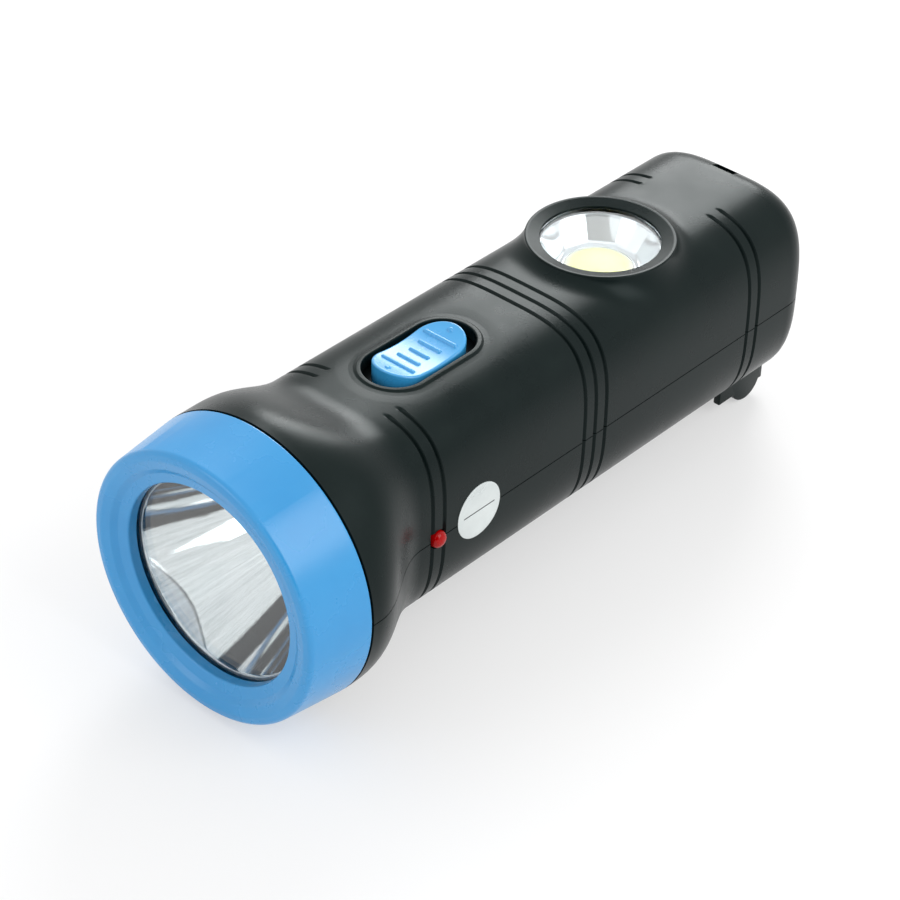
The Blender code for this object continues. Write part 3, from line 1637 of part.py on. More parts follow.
def charge_light_leads(inner_end):
    """Bare leads of the charge light, bent round the screw boss to the control board."""
    board = (BOARD_TOP + BOARD_BOTTOM) / 2
    clear = SCREW_ACROSS - BOSS_RADIUS - 4 * LEAD_RADIUS
    bend = MAIN_BOARD_BACK + LEAD_BEND_ROOM
    for name, side in (("a", -1), ("b", 1)):
        along = CHARGE_LIGHT_ALONG + side * LEAD_SPACING / 2
        inside = clear - LEAD_SPACING * (1 - side) / 2
        wire(
            f"charge_led_lead_{name}",
            [
                place(inner_end, along, 0),
                place((inner_end + inside) / 2, along, 0),
                place(inside, bend, board / 4),
                place(inside, (bend + BOARD_FRONT) / 2, board * 3 / 4),
                place(inside, BOARD_FRONT - FIT - 4 * LEAD_RADIUS, board),
                place(inside, BOARD_FRONT - FIT, board),
            ],
            LEAD_RADIUS,
            BARE,
        )


def battery_wires(tab_front):
    """Short wires from the battery terminals to the back edge of the control board."""
    end = BOARD_BACK + FIT
    board = (BOARD_TOP + BOARD_BOTTOM) / 2
    middle = (tab_front + end) / 2
    for name, side, colour in (("plus", 1, RED), ("minus", -1, BLACK)):
        across = side * TAB_ACROSS
        wire(
            f"battery_wire_{name}",
            [
                place(across, tab_front, TAB_ABOVE),
                place(across, tab_front - WIRE_RADIUS, TAB_ABOVE),
                place(across, middle, (TAB_ABOVE + board) / 2),
                place(across, end + WIRE_RADIUS, board),
                place(across, end, board),
            ],
            WIRE_RADIUS,
            colour,
        )


def side_lamp_wires():
    """Wires from the side lamp's board, over the battery, to the control board."""
    board_middle = DISH_BOTTOM - FIT - LAMP_BOARD_THICKNESS / 2
    board = (BOARD_TOP + BOARD_BOTTOM) / 2
    above_battery = BATTERY_TOP + 2 * WIRE_RADIUS
    for name, side, colour in (("plus", 1, RED), ("minus", -1, BLACK)):
        across = side * LAMP_BOARD_RADIUS / 3
        start = LAMP_ALONG - math.sqrt(LAMP_BOARD_RADIUS**2 - across**2) - FIT - WIRE_RADIUS / 2
        wire(
            f"cob_wire_{name}",
            [
                place(across, start, board_middle),
                place(across, start - 2 * WIRE_RADIUS, board_middle),
                place(across, (start + BATTERY_FRONT) / 2, above_battery),
                place(across, BATTERY_FRONT, above_battery),
                place(across, BOARD_BACK + 3 * WIRE_RADIUS, (above_battery + board) / 2),
                place(across, BOARD_BACK + FIT + WIRE_RADIUS, board),
                place(across, BOARD_BACK + FIT, board),
            ],
            WIRE_RADIUS,
            colour,
        )


def plug_wires():
    """Wires from the plug's contacts, under the battery, to the control board."""
    tab_low = PIVOT_DROP - POCKET_ROOF_DROP + POCKET_WALL + FIT
    start = PIVOT_ALONG + ROTOR_BLOCK_BACK + FIT - CONTACT_TAB - FIT
    tab = tab_low + (CONTACT_THICKNESS + WIRE_RADIUS) / 2 - PIVOT_DROP
    under = (-BATTERY_DROP - POCKET_ROOF_DROP + POCKET_WALL) / 2
    low = -(BATTERY_DROP + INNER_BOTTOM) / 2
    front = (BOARD_BACK + BATTERY_FRONT) / 2
    board = (BOARD_TOP + BOARD_BOTTOM) / 2
    battery_back = BATTERY_FRONT + BATTERY_LENGTH
    beside = BOARD_WIDTH / 2 - 2 * POST_INSET
    for name, side, colour in (("left", -1, BLACK), ("right", 1, RED)):
        across = side * BLADE_ACROSS
        wire(
            f"plug_wire_{name}",
            [
                place(across, start, tab),
                place(across, start - 2 * WIRE_RADIUS, tab),
                place(across, battery_back + 2 * WIRE_RADIUS, under),
                place(across, CHANNEL_FRONT, under),
                place(across * WIRE_SPREAD_SHARES[0], CHANNEL_FRONT - 8 * WIRE_RADIUS, (under + low) / 2),
                place(across * WIRE_SPREAD_SHARES[1], (BATTERY_FRONT + CHANNEL_FRONT) / 2, low),
                place(across * WIRE_SPREAD_SHARES[2], BATTERY_FRONT + 4 * WIRE_RADIUS, low),
                place(side * beside, front, -BATTERY_DROP / 2),
                place(side * beside, front, TAB_ABOVE / 2),
                place(side * beside, BOARD_BACK + FIT + WIRE_RADIUS, board),
                place(side * beside, BOARD_BACK + FIT, board),
            ],
            WIRE_RADIUS,
            colour,
        )


def round_sticker():
    face = BODY_HALF_WIDTH + STICKER_GAP + STICKER_THICKNESS / 2
    return drum(
        "round_sticker",
        STICKER_RADIUS,
        STICKER_THICKNESS,
        place(face, STICKER_ALONG, STICKER_ABOVE),
        ACROSS_TORCH,
        silver_film(),
        steps=32,
    )


upper_shell()
lower_shell()
bezel_ring()
front_lens()
main_reflector()
main_led()
main_led_board()
switch_slider()
switch_body()
switch_lever()
lamp_dish()
lamp_pieces()
case_screws()
light_inner_end = charge_light()
control_board()
board_parts()
tab_front_face = battery()
plug()
lamp_wires()
charge_light_leads(light_inner_end)
battery_wires(tab_front_face)
side_lamp_wires()
plug_wires()
round_sticker()
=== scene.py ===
# %% [markdown]
# # Hand torch with a side lamp
# This lesson dresses a torch whose measured solids are already packed. The solids give every
# place and size, and the surfaces made here give the rounded edges, the finish and the light.
# Work is done in millimetres along the torch (from the front of the blue ring), across it and
# above the lens axis, and turned into metres in the shared frame at the very end.

# %% Load the fixed frame
import json
import math

import bmesh
import bpy
import numpy as np
from mathutils import Matrix, Vector
from mathutils.geometry import delaunay_2d_cdt

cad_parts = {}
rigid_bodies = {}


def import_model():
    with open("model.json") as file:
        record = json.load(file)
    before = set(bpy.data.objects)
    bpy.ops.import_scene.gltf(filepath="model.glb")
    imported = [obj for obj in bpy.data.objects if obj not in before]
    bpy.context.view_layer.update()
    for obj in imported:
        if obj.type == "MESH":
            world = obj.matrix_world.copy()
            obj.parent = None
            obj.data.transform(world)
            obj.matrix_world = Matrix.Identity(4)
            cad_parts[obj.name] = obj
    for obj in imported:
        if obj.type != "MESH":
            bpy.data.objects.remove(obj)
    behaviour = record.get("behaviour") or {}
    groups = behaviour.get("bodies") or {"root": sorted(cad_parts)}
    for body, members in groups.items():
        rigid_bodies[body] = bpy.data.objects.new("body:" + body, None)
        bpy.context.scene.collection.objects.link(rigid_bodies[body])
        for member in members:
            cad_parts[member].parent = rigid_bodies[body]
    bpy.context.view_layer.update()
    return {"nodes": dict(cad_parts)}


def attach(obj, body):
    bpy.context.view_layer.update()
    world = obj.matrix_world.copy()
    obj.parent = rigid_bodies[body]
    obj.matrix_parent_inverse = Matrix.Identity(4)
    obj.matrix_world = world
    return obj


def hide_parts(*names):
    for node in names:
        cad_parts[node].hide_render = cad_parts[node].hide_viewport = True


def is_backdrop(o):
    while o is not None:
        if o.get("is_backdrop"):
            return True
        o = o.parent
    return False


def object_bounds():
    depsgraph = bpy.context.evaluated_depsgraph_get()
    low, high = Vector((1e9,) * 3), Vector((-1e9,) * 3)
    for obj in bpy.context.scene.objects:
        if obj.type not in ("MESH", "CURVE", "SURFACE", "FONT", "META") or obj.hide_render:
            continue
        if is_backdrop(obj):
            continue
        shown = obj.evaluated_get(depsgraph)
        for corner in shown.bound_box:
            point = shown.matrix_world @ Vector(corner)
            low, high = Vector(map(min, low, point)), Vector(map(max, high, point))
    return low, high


for leftover in list(bpy.data.objects):
    bpy.data.objects.remove(leftover)
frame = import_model()

# %% [markdown]
# ## Putting numbers into meshes
# Every piece starts as whole arrays of points and faces. One helper turns them into a mesh,
# another makes the faces of a grid. Sharp edges are marked by angle, so a smooth wall stays
# smooth and a moulded edge stays crisp.

# %% Points, grids and pieces
LENGTH = 132.3
AXIS_HEIGHT = 24.7
LAMP_ALONG, SWITCH_ALONG = 94.0, 49.0
LIGHT_ALONG, STICKER_ALONG, STICKER_ABOVE = 34.7, 44.2, 0.4


def spot(across, along, above):
    """Metres in the shared frame: across stays, along and above are moved to the frame's origin."""
    across, along, above = np.broadcast_arrays(across, along, above)
    return np.stack([across, along - LENGTH / 2, above + AXIS_HEIGHT], axis=-1) / 1000


def grid_faces(rows, columns, wrap=False, start=0):
    """Four corners of each cell of a grid, row by row; wrap joins the last column to the first."""
    row = np.arange(rows - 1)[:, None] * columns
    column = np.arange(columns if wrap else columns - 1)[None, :]
    following = (column + 1) % columns
    corners = [row + column, row + following, row + columns + following, row + columns + column]
    return np.stack(corners, axis=-1).reshape(-1, 4) + start


def make_mesh(name, points, faces, sharp=32.0):
    """A mesh from an array of points and lists of faces, turned so that its volume is positive."""
    mesh = bpy.data.meshes.new(name)
    mesh.from_pydata(np.asarray(points).reshape(-1, 3).tolist(), [], [tuple(f) for f in faces])
    mesh.validate()
    mesh.shade_smooth()
    piece = bpy.data.objects.new(name, mesh)
    bpy.context.scene.collection.objects.link(piece)
    mesh.calc_loop_triangles()
    corners = np.array([t.vertices for t in mesh.loop_triangles])
    place = np.array([v.co for v in mesh.vertices])
    if np.linalg.det(place[corners]).sum() < 0:
        mesh.flip_normals()
    mesh.set_sharp_from_angle(angle=math.radians(sharp))
    return piece


def turned(name, profile, centre, axis, steps=96, sharp=32.0):
    """A closed profile of (radius, distance) carried round an axis: point = centre + distance
    along the axis + radius in the direction of the turning angle."""
    profile = np.array(profile, float)
    angle = np.linspace(0, 2 * math.pi, steps, endpoint=False)
    radius, reach = profile[:, 0][:, None], profile[:, 1][:, None] + 0 * angle
    first, second = radius * np.cos(angle), radius * np.sin(angle)
    order = {"along": (first, reach, second), "up": (first, second, reach), "across": (reach, first, second)}
    across, along, above = order[axis]
    points = spot(across + centre[0], along + centre[1], above + centre[2]).reshape(-1, 3)
    rows = len(profile)
    if np.all(profile[:, 0] > 0):
        faces = grid_faces(rows + 1, steps, wrap=True)
        faces = np.where(faces >= rows * steps, faces - rows * steps, faces)
        return make_mesh(name, points, faces, sharp)
    faces = grid_faces(rows, steps, wrap=True)
    return make_mesh(name, *welded(points, faces), sharp)


def welded(points, faces):
    """Points that share a place become one, and faces that lose a side lose that corner."""
    _, first, index = np.unique(
        np.round(points * 1e6).astype(np.int64), axis=0, return_index=True, return_inverse=True
    )
    index = index.reshape(-1)
    kept = []
    for face in faces:
        corners = list(dict.fromkeys(index[list(face)].tolist()))
        if len(corners) > 2:
            kept.append(corners)
    return points[first], kept


def rounded(corners, steps=5, closed=True):
    """A polyline (x, y, radius) whose corners are replaced by arcs, with a support point each side."""
    corners = np.array(corners, float)
    count = len(corners)
    made = []
    for index in range(count):
        point, radius = corners[index, :2], corners[index, 2]
        if radius == 0 or (not closed and index in (0, count - 1)):
            made.append(point)
            continue
        before = corners[index - 1, :2] - point
        after = corners[(index + 1) % count, :2] - point
        room = 0.48 * min(np.linalg.norm(before), np.linalg.norm(after))
        before, after = before / np.linalg.norm(before), after / np.linalg.norm(after)
        half = math.acos(np.clip(before @ after, -1, 1)) / 2
        reach = min(radius / math.tan(half), room)
        radius = reach * math.tan(half)
        middle = point + (before + after) / np.linalg.norm(before + after) * radius / math.sin(half)
        start, end = point + before * reach - middle, point + after * reach - middle
        share = np.linspace(0, 1, steps + 1)[:, None]
        swing = math.acos(np.clip(start @ end / radius**2, -1, 1))
        arc = (np.sin((1 - share) * swing) * start + np.sin(share * swing) * end) / math.sin(swing)
        support = min(0.12, room - reach + 1e-6)
        made.append(point + before * (reach + support))
        made.extend(middle + arc)
        made.append(point + after * (reach + support))
    return np.array(made)


print("length and axis height in mm:", LENGTH, AXIS_HEIGHT)

# %% [markdown]
# ## Shared surface effects
# Moulded plastic is never one flat colour. The tool leaves a fine grain, handling leaves dull
# patches and hairline scuffs, and dust leaves fine specks. Each effect is a node group that is
# built once and put into the materials with its own values.

# %% Node groups
def new_group(name, inputs, outputs):
    """An empty shader group with number inputs and the named outputs."""
    group = bpy.data.node_groups.new(name, "ShaderNodeTree")
    for label, value in inputs:
        socket = group.interface.new_socket(name=label, in_out="INPUT", socket_type="NodeSocketFloat")
        socket.default_value = value
    for label in outputs:
        group.interface.new_socket(name=label, in_out="OUTPUT", socket_type="NodeSocketFloat")
    tree = group.nodes
    return group, tree.new("NodeGroupInput"), tree.new("NodeGroupOutput")


def noise(group, coordinates, scale, detail=3.0, roughness=0.55):
    """The share of a noise texture at the coordinates."""
    node = group.nodes.new("ShaderNodeTexNoise")
    node.inputs["Detail"].default_value = detail
    node.inputs["Roughness"].default_value = roughness
    group.links.new(coordinates, node.inputs["Vector"])
    if hasattr(scale, "default_value"):
        group.links.new(scale, node.inputs["Scale"])
    else:
        node.inputs["Scale"].default_value = scale
    return node.outputs["Fac"]


def calculate(tree, operation, first, second, third=None):
    """A Math node whose inputs are sockets or numbers."""
    node = tree.nodes.new("ShaderNodeMath")
    node.operation = operation
    for index, value in enumerate((first, second, third)):
        if value is None:
            continue
        if hasattr(value, "default_value"):
            tree.links.new(value, node.inputs[index])
        else:
            node.inputs[index].default_value = value
    return node.outputs[0]


def remap(tree, value, low, high, new_low, new_high):
    """A Map Range node: low becomes new_low and high becomes new_high, and it stops there."""
    node = tree.nodes.new("ShaderNodeMapRange")
    tree.links.new(value, node.inputs["Value"])
    for label, number in zip(("From Min", "From Max", "To Min", "To Max"), (low, high, new_low, new_high)):
        node.inputs[label].default_value = number
    return node.outputs[0]


def tool_grain():
    """Fine pebbling of a spark-eroded tool: two noises, one ten times finer than the other."""
    group, given, put = new_group("tool grain", [("Size", 5000.0), ("Patches", 90.0)], ["Height", "Mottle"])
    place = group.nodes.new("ShaderNodeTexCoord").outputs["Object"]
    fine = noise(group, place, given.outputs["Size"], 2.0)
    wide = noise(group, place, given.outputs["Patches"], 4.0)
    group.links.new(fine, put.inputs["Height"])
    group.links.new(wide, put.inputs["Mottle"])
    return group


def handling_marks():
    """Hairline scuffs: noise stretched along the torch and cut off so that few lines remain."""
    group, given, put = new_group("handling marks", [("Lines", 900.0)], ["Scuffs", "Dust"])
    place = group.nodes.new("ShaderNodeTexCoord").outputs["Object"]
    stretch = group.nodes.new("ShaderNodeMapping")
    stretch.inputs["Scale"].default_value = (1.0, 0.05, 0.6)
    stretch.inputs["Rotation"].default_value = (0.2, 0.3, 0.5)
    group.links.new(place, stretch.inputs["Vector"])
    lines = noise(group, stretch.outputs[0], given.outputs["Lines"], 1.0)
    spread = noise(group, place, 60.0, 2.0)
    thin = remap(group, lines, 0.66, 0.72, 0.0, 1.0)
    few = remap(group, spread, 0.5, 0.7, 0.0, 1.0)
    group.links.new(calculate(group, "MULTIPLY", thin, few), put.inputs["Scuffs"])
    specks = noise(group, place, 2600.0, 1.0)
    group.links.new(remap(group, specks, 0.72, 0.78, 0.0, 1.0), put.inputs["Dust"])
    return group


GRAIN = tool_grain()
MARKS = handling_marks()
print("groups:", GRAIN.name, "and", MARKS.name)

# %% [markdown]
# ## Materials
# Each finish is a Principled shader. Colours are written as they look on a screen and turned
# into linear values here, so a reader can compare them with the real thing.

# %% Helper for a finish
def linear(red, green, blue):
    """Screen values from 0 to 255 as the linear colour that the shader needs."""
    share = np.array([red, green, blue]) / 255
    curve = np.where(share <= 0.04045, share / 12.92, ((share + 0.055) / 1.055) ** 2.4)
    return (*curve.tolist(), 1.0)


def finish(name, dark, light, rough, grain=0.05, size=5000.0, scuffs=0.0, dust=0.0, **plain):
    """Base colour drifts between two near tones, roughness drifts with it, grain drives the bump."""
    made = bpy.data.materials.new(name)
    made.use_nodes = True
    tree = made.node_tree
    shader = tree.nodes["Principled BSDF"]
    texture = tree.nodes.new("ShaderNodeGroup")
    texture.node_tree = GRAIN
    texture.inputs["Size"].default_value = size
    marks = tree.nodes.new("ShaderNodeGroup")
    marks.node_tree = MARKS
    mix = tree.nodes.new("ShaderNodeMix")
    mix.data_type = "RGBA"
    mix.inputs[6].default_value = linear(*dark)
    mix.inputs[7].default_value = linear(*light)
    mottle = remap(tree, texture.outputs["Mottle"], 0.22, 0.78, 0.0, 1.0)
    worn = calculate(tree, "MULTIPLY_ADD", marks.outputs["Scuffs"], scuffs, mottle)
    speckled = calculate(tree, "MULTIPLY_ADD", marks.outputs["Dust"], dust, worn)
    tree.links.new(speckled, mix.inputs[0])
    tree.links.new(mix.outputs[2], shader.inputs["Base Color"])
    low, high = rough
    base = remap(tree, texture.outputs["Mottle"], 0.22, 0.78, low, high)
    dull = calculate(tree, "MULTIPLY_ADD", marks.outputs["Scuffs"], 0.4 * scuffs, base)
    tree.links.new(dull, shader.inputs["Roughness"])
    bump = tree.nodes.new("ShaderNodeBump")
    bump.inputs["Strength"].default_value = grain
    bump.inputs["Distance"].default_value = 0.0001
    tree.links.new(texture.outputs["Height"], bump.inputs["Height"])
    tree.links.new(bump.outputs[0], shader.inputs["Normal"])
    for label, value in plain.items():
        shader.inputs[label.replace("_", " ")].default_value = value
    return made


# %% [markdown]
# Black and blue are moulded plastics that take their sheen from the tool. The black reflects
# little, and a little cooler than white, as a filled plastic does. The slider's blue is a lighter
# copy of the ring's blue, painted light for its brightly lit top. The window is clear plastic.

# %% The finishes of this torch
BLACK = finish(
    "black casing plastic", (8, 18, 18), (16, 26, 25), (0.22, 0.36), 0.16, 4200, 0.06, 0.04,
    Specular_IOR_Level=0.14, Specular_Tint=(0.86, 1.0, 1.0, 1.0),
)
BLUE = finish("blue ring plastic", (38, 139, 201), (46, 147, 207), (0.24, 0.3), 0.012, 4200, Specular_IOR_Level=0.65)
# Painted light: the slider's blue is a lighter copy of the ring's blue, standing for the light on its top.
SLIDER_BLUE_PAINTED_LIGHT = finish(
    "blue slider plastic with painted light", (48, 150, 210), (60, 160, 218), (0.24, 0.3), 0.012, 4200, Specular_IOR_Level=0.8
)
CLEAR = finish(
    "clear window plastic", (250, 252, 252), (255, 255, 255), (0.0, 0.02), 0.0, Transmission_Weight=1.0, IOR=1.49
)
print("outer finishes:", BLACK.name, BLUE.name, SLIDER_BLUE_PAINTED_LIGHT.name, CLEAR.name)

# %% [markdown]
# The plated cup isn't a perfect mirror: the plating shows fine rays that run from the mouth to
# the emitter. They come from noise read in the direction round the axis, so that each ray
# keeps its angle. The cup's rolled lip is left dull, as a moulded edge takes the plating badly.

# %% Plated cup
def plated_cup():
    """The finish of the cup: metal with faint rays, and a dull lip."""
    made = bpy.data.materials.new("vacuum plated cup")
    made.use_nodes = True
    tree = made.node_tree
    shader = tree.nodes["Principled BSDF"]
    shader.inputs["Metallic"].default_value = 1.0
    place = tree.nodes.new("ShaderNodeTexCoord").outputs["Object"]
    centred = tree.nodes.new("ShaderNodeMapping")
    centred.inputs["Location"].default_value = (0, 0, -AXIS_HEIGHT / 1000)
    centred.inputs["Scale"].default_value = (1, 0, 1)
    tree.links.new(place, centred.inputs["Vector"])
    ray = tree.nodes.new("ShaderNodeVectorMath")
    ray.operation = "NORMALIZE"
    tree.links.new(centred.outputs[0], ray.inputs[0])
    depth = tree.nodes.new("ShaderNodeMapping")
    depth.inputs["Scale"].default_value = (0, 4, 0)
    tree.links.new(place, depth.inputs["Vector"])
    where = tree.nodes.new("ShaderNodeVectorMath")
    tree.links.new(ray.outputs[0], where.inputs[0])
    tree.links.new(depth.outputs[0], where.inputs[1])
    rays = noise(tree, where.outputs[0], 26.0, 4.0, 0.7)
    bump = tree.nodes.new("ShaderNodeBump")
    bump.inputs["Strength"].default_value = 0.02
    bump.inputs["Distance"].default_value = 0.0003
    tree.links.new(rays, bump.inputs["Height"])
    tree.links.new(bump.outputs[0], shader.inputs["Normal"])
    split = tree.nodes.new("ShaderNodeSeparateXYZ")
    tree.links.new(place, split.inputs[0])
    lip = remap(tree, split.outputs["Y"], -0.06122, -0.06112, 0.45, 0.0)
    tree.links.new(calculate(tree, "MULTIPLY_ADD", rays, 0.05, lip), shader.inputs["Roughness"])
    mix = tree.nodes.new("ShaderNodeMix")
    mix.data_type = "RGBA"
    mix.inputs[6].default_value = linear(226, 231, 232)
    mix.inputs[7].default_value = linear(248, 251, 252)
    tree.links.new(remap(tree, rays, 0.35, 0.65, 0.0, 1.0), mix.inputs[0])
    tree.links.new(mix.outputs[2], shader.inputs["Base Color"])
    return made


# %% [markdown]
# The other finishes are plain materials of the trade: plated and zinc-coated metal, board
# laminate, resin, lacquer and wire covers. Most of them are inside and are seen only when the
# torch is taken apart.

# %% More finishes
CHROME = plated_cup()
THIN_CLEAR = finish(
    "thin clear window", (252, 254, 254), (255, 255, 255), (0.0, 0.01), 0.0, Transmission_Weight=1.0, IOR=1.16
)
WHITE = finish("bright lamp dish", (208, 217, 222), (220, 228, 232), (0.08, 0.13), 0.02, 2500, Metallic=0.65)
YELLOW = finish("phosphor", (240, 242, 150), (248, 249, 172), (0.42, 0.5), 0.2, 2600)
RED = finish(
    "red light resin", (152, 0, 2), (172, 2, 4), (0.05, 0.1), 0.01, 2000, Specular_IOR_Level=0.16, Coat_Weight=0.12
)
DOME = finish("emitter resin", (226, 222, 172), (240, 236, 190), (0.08, 0.14), 0.02, 2500, Coat_Weight=0.5)
BOARD = finish("white solder mask", (206, 212, 208), (222, 228, 224), (0.3, 0.4), 0.05, 2500)
STEEL = finish("zinc plated steel", (150, 152, 150), (176, 178, 176), (0.24, 0.36), 0.05, 2500, 0.3, Metallic=1.0)
DARK = finish(
    "dark plug plastic", (10, 15, 16), (18, 23, 24), (0.34, 0.44), 0.12, 3600, 0.3, 0.3, Specular_IOR_Level=0.2
)
BRASS = finish("nickel plated pin", (176, 174, 166), (202, 200, 192), (0.16, 0.28), 0.04, 2500, 0.3, Metallic=1.0)
SILVER = finish("silver film", (198, 206, 206), (230, 236, 235), (0.2, 0.38), 0.015, 2600, Metallic=0.6)
LAMINATE = finish("green board laminate", (24, 92, 56), (34, 112, 66), (0.3, 0.45), 0.1, 2500)
BROWN = finish("capacitor resin", (122, 60, 30), (146, 74, 36), (0.25, 0.35), 0.1, 1500)
LACQUER = finish("resistor lacquer", (190, 164, 118), (206, 180, 132), (0.2, 0.3), 0.1, 2500)
GREY = finish("battery case plastic", (92, 96, 100), (108, 112, 116), (0.35, 0.5), 0.15, 3000, 0.3)
TINNED = finish("tinned lead", (170, 172, 172), (196, 198, 198), (0.2, 0.35), 0.05, 2500, Metallic=1.0)
RED_WIRE = finish("red wire cover", (166, 22, 18), (186, 32, 26), (0.3, 0.45), 0.05, 2500)
BLACK_WIRE = finish("black wire cover", (26, 26, 28), (38, 38, 40), (0.3, 0.45), 0.05, 2500)
print("materials so far:", len(bpy.data.materials))

# %% [markdown]
# Two finishes change over their piece. The phosphor fades to white at its rim, where the resin
# is thin: the mask is the distance from the lamp's axis. The sticker carries a ruled line across
# its middle: the mask is the product of two bands, one in height and one in length.

# %% Masks on the phosphor and the sticker
def object_place(tree):
    """The place on the piece, as Object coordinates."""
    return tree.nodes.new("ShaderNodeTexCoord").outputs["Object"]


def overlay(made, mask, colour):
    """Mixes another colour over the base colour by a mask."""
    tree = made.node_tree
    shader = tree.nodes["Principled BSDF"]
    mix = tree.nodes.new("ShaderNodeMix")
    mix.data_type = "RGBA"
    mix.inputs[7].default_value = linear(*colour)
    tree.links.new(mask, mix.inputs[0])
    tree.links.new(shader.inputs["Base Color"].links[0].from_socket, mix.inputs[6])
    tree.links.new(mix.outputs[2], shader.inputs["Base Color"])


tree = YELLOW.node_tree
flat = tree.nodes.new("ShaderNodeMapping")
flat.inputs["Scale"].default_value = (1, 1, 0)
tree.links.new(object_place(tree), flat.inputs["Vector"])
away = tree.nodes.new("ShaderNodeVectorMath")
away.operation = "DISTANCE"
tree.links.new(flat.outputs[0], away.inputs[0])
away.inputs[1].default_value = (0, (LAMP_ALONG - LENGTH / 2) / 1000, 0)
overlay(YELLOW, remap(tree, away.outputs["Value"], 0.0047, 0.0060, 0.0, 1.0), (250, 252, 248))

tree = SILVER.node_tree
parts = tree.nodes.new("ShaderNodeSeparateXYZ")
tree.links.new(object_place(tree), parts.inputs[0])
bands = []
for axis, middle, inner, outer in (
    ("Z", AXIS_HEIGHT + STICKER_ABOVE + 0.1, 0.09, 0.13), ("Y", STICKER_ALONG - LENGTH / 2, 3.6, 3.65)
):
    off = calculate(tree, "ABSOLUTE", calculate(tree, "SUBTRACT", parts.outputs[axis], middle / 1000), None)
    bands.append(remap(tree, off, inner / 1000, outer / 1000, 1.0, 0.0))
overlay(SILVER, calculate(tree, "MULTIPLY", *bands), (52, 56, 58))
print("masks on:", YELLOW.name, SILVER.name)

# %% [markdown]
# Each solid of the frame arrives with a plain material named after its slot. The finish of that
# slot takes its place, and nothing else about the solid changes.

# %% Finishes on the solids
FINISH_OF_SLOT = {
    "black_plastic": BLACK, "blue_plastic": BLUE, "clear_plastic": CLEAR, "chrome_plating": CHROME,
    "led_resin": DOME, "aluminium_board": BOARD, "zinc_steel": STEEL, "dark_plastic": DARK,
    "white_plating": WHITE, "phosphor_yellow": YELLOW, "red_epoxy": RED, "tinned": TINNED,
    "board_laminate": LAMINATE, "capacitor_resin": BROWN, "resistor_lacquer": LACQUER,
    "battery_case": GREY, "plated_brass": BRASS, "red_insulation": RED_WIRE,
    "black_insulation": BLACK_WIRE, "silver_film": SILVER,
}
for solid in frame["nodes"].values():
    slot_name = solid.data.materials[0].name.split(".")[0]
    solid.data.materials[0] = FINISH_OF_SLOT[slot_name]
print("finishes:", len(FINISH_OF_SLOT))


def place_piece(piece, material, slot, body, *nodes):
    """Give the piece its finish and its body, and let it stand for its solids."""
    piece.data.materials.clear()
    piece.data.materials.append(material)
    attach(piece, body)
    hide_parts(*nodes)
    print(piece.name, "faces:", len(piece.data.polygons))
    return piece


# %% [markdown]
# ## The casing's skin
# The body is a rounded rectangle that opens into the round head. A point is found from the
# distance along the torch and the angle round it. The polar form keeps one formula for the
# soft circle of the head and the squarer body: radius = (|cos|^n + |sin|^n)^(-1/n).

# %% Section of the casing
HALF_WIDTH, TOP, BOTTOM = 17.6, 19.6, 17.6
CONE_START, CONE_END = 14.0, 30.7
TAIL_ROUNDING = 6.0
TAIL_EDGE = LENGTH - TAIL_ROUNDING
SPIGOT_RADIUS, BORE_RADIUS, WALL = 21.5, 19.3, 2.0
PARTING = 0.09
GROOVES = [
    (33.35, False), (36.05, False), (70.2, True), (72.9, True), (75.6, True),
    (113.95, False), (116.65, False),
]
GROOVE_HALF, GROOVE_DEPTH = 0.46, 0.5


def body_blend(along):
    """0 at the round head and 1 at the body: 3 t^2 - 2 t^3 of the share of the cone."""
    share = np.clip((along - CONE_START) / (CONE_END - CONE_START), 0, 1)
    return share * share * (3 - 2 * share)


def section_sizes(along, upper):
    """Half width, half height and power of the section: the head's and the body's, blended."""
    blend = body_blend(along)
    wide = AXIS_HEIGHT + (HALF_WIDTH - AXIS_HEIGHT) * blend
    tall = AXIS_HEIGHT + ((TOP if upper else BOTTOM) - AXIS_HEIGHT) * blend
    power = 2 + ((3.6 if upper else 3.0) - 2) * blend
    return wide, tall, power


def groove_depth(along, across):
    """Depth of the finger grooves: 0.5 mm (1 - u^2)^1.5, the end groups only on the sides."""
    depth = np.zeros(np.broadcast(along, across).shape)
    for middle, over_top in GROOVES:
        share = np.clip(np.abs(along - middle) / GROOVE_HALF, 0, 1)
        end = 1.0 if over_top else np.sqrt(np.clip((np.abs(across) - 7.4) / 1.4, 0, 1))
        depth = np.maximum(depth, GROOVE_DEPTH * (1 - share**2) ** 1.5 * end)
    return depth


def rim_point(along, angle, drop, upper, grooves=True):
    """A point of the skin: section sizes less the drop, in the direction of the angle."""
    wide, tall, power = section_sizes(along, upper)
    cosine, sine = np.cos(angle), np.abs(np.sin(angle))
    reach = (np.abs(cosine) ** power + sine**power) ** (-1 / power)
    if grooves:
        drop = drop + groove_depth(along, wide * reach * cosine)
    return (wide - drop) * reach * cosine, (tall - drop) * reach * sine * (1 if upper else -1)


print("groove middles in mm:", [middle for middle, _ in GROOVES])

# %% [markdown]
# Rows along the torch lie close together where a groove crosses, and further apart on the
# plain skin. The last rows turn over the tail's edge and run flat to its middle.

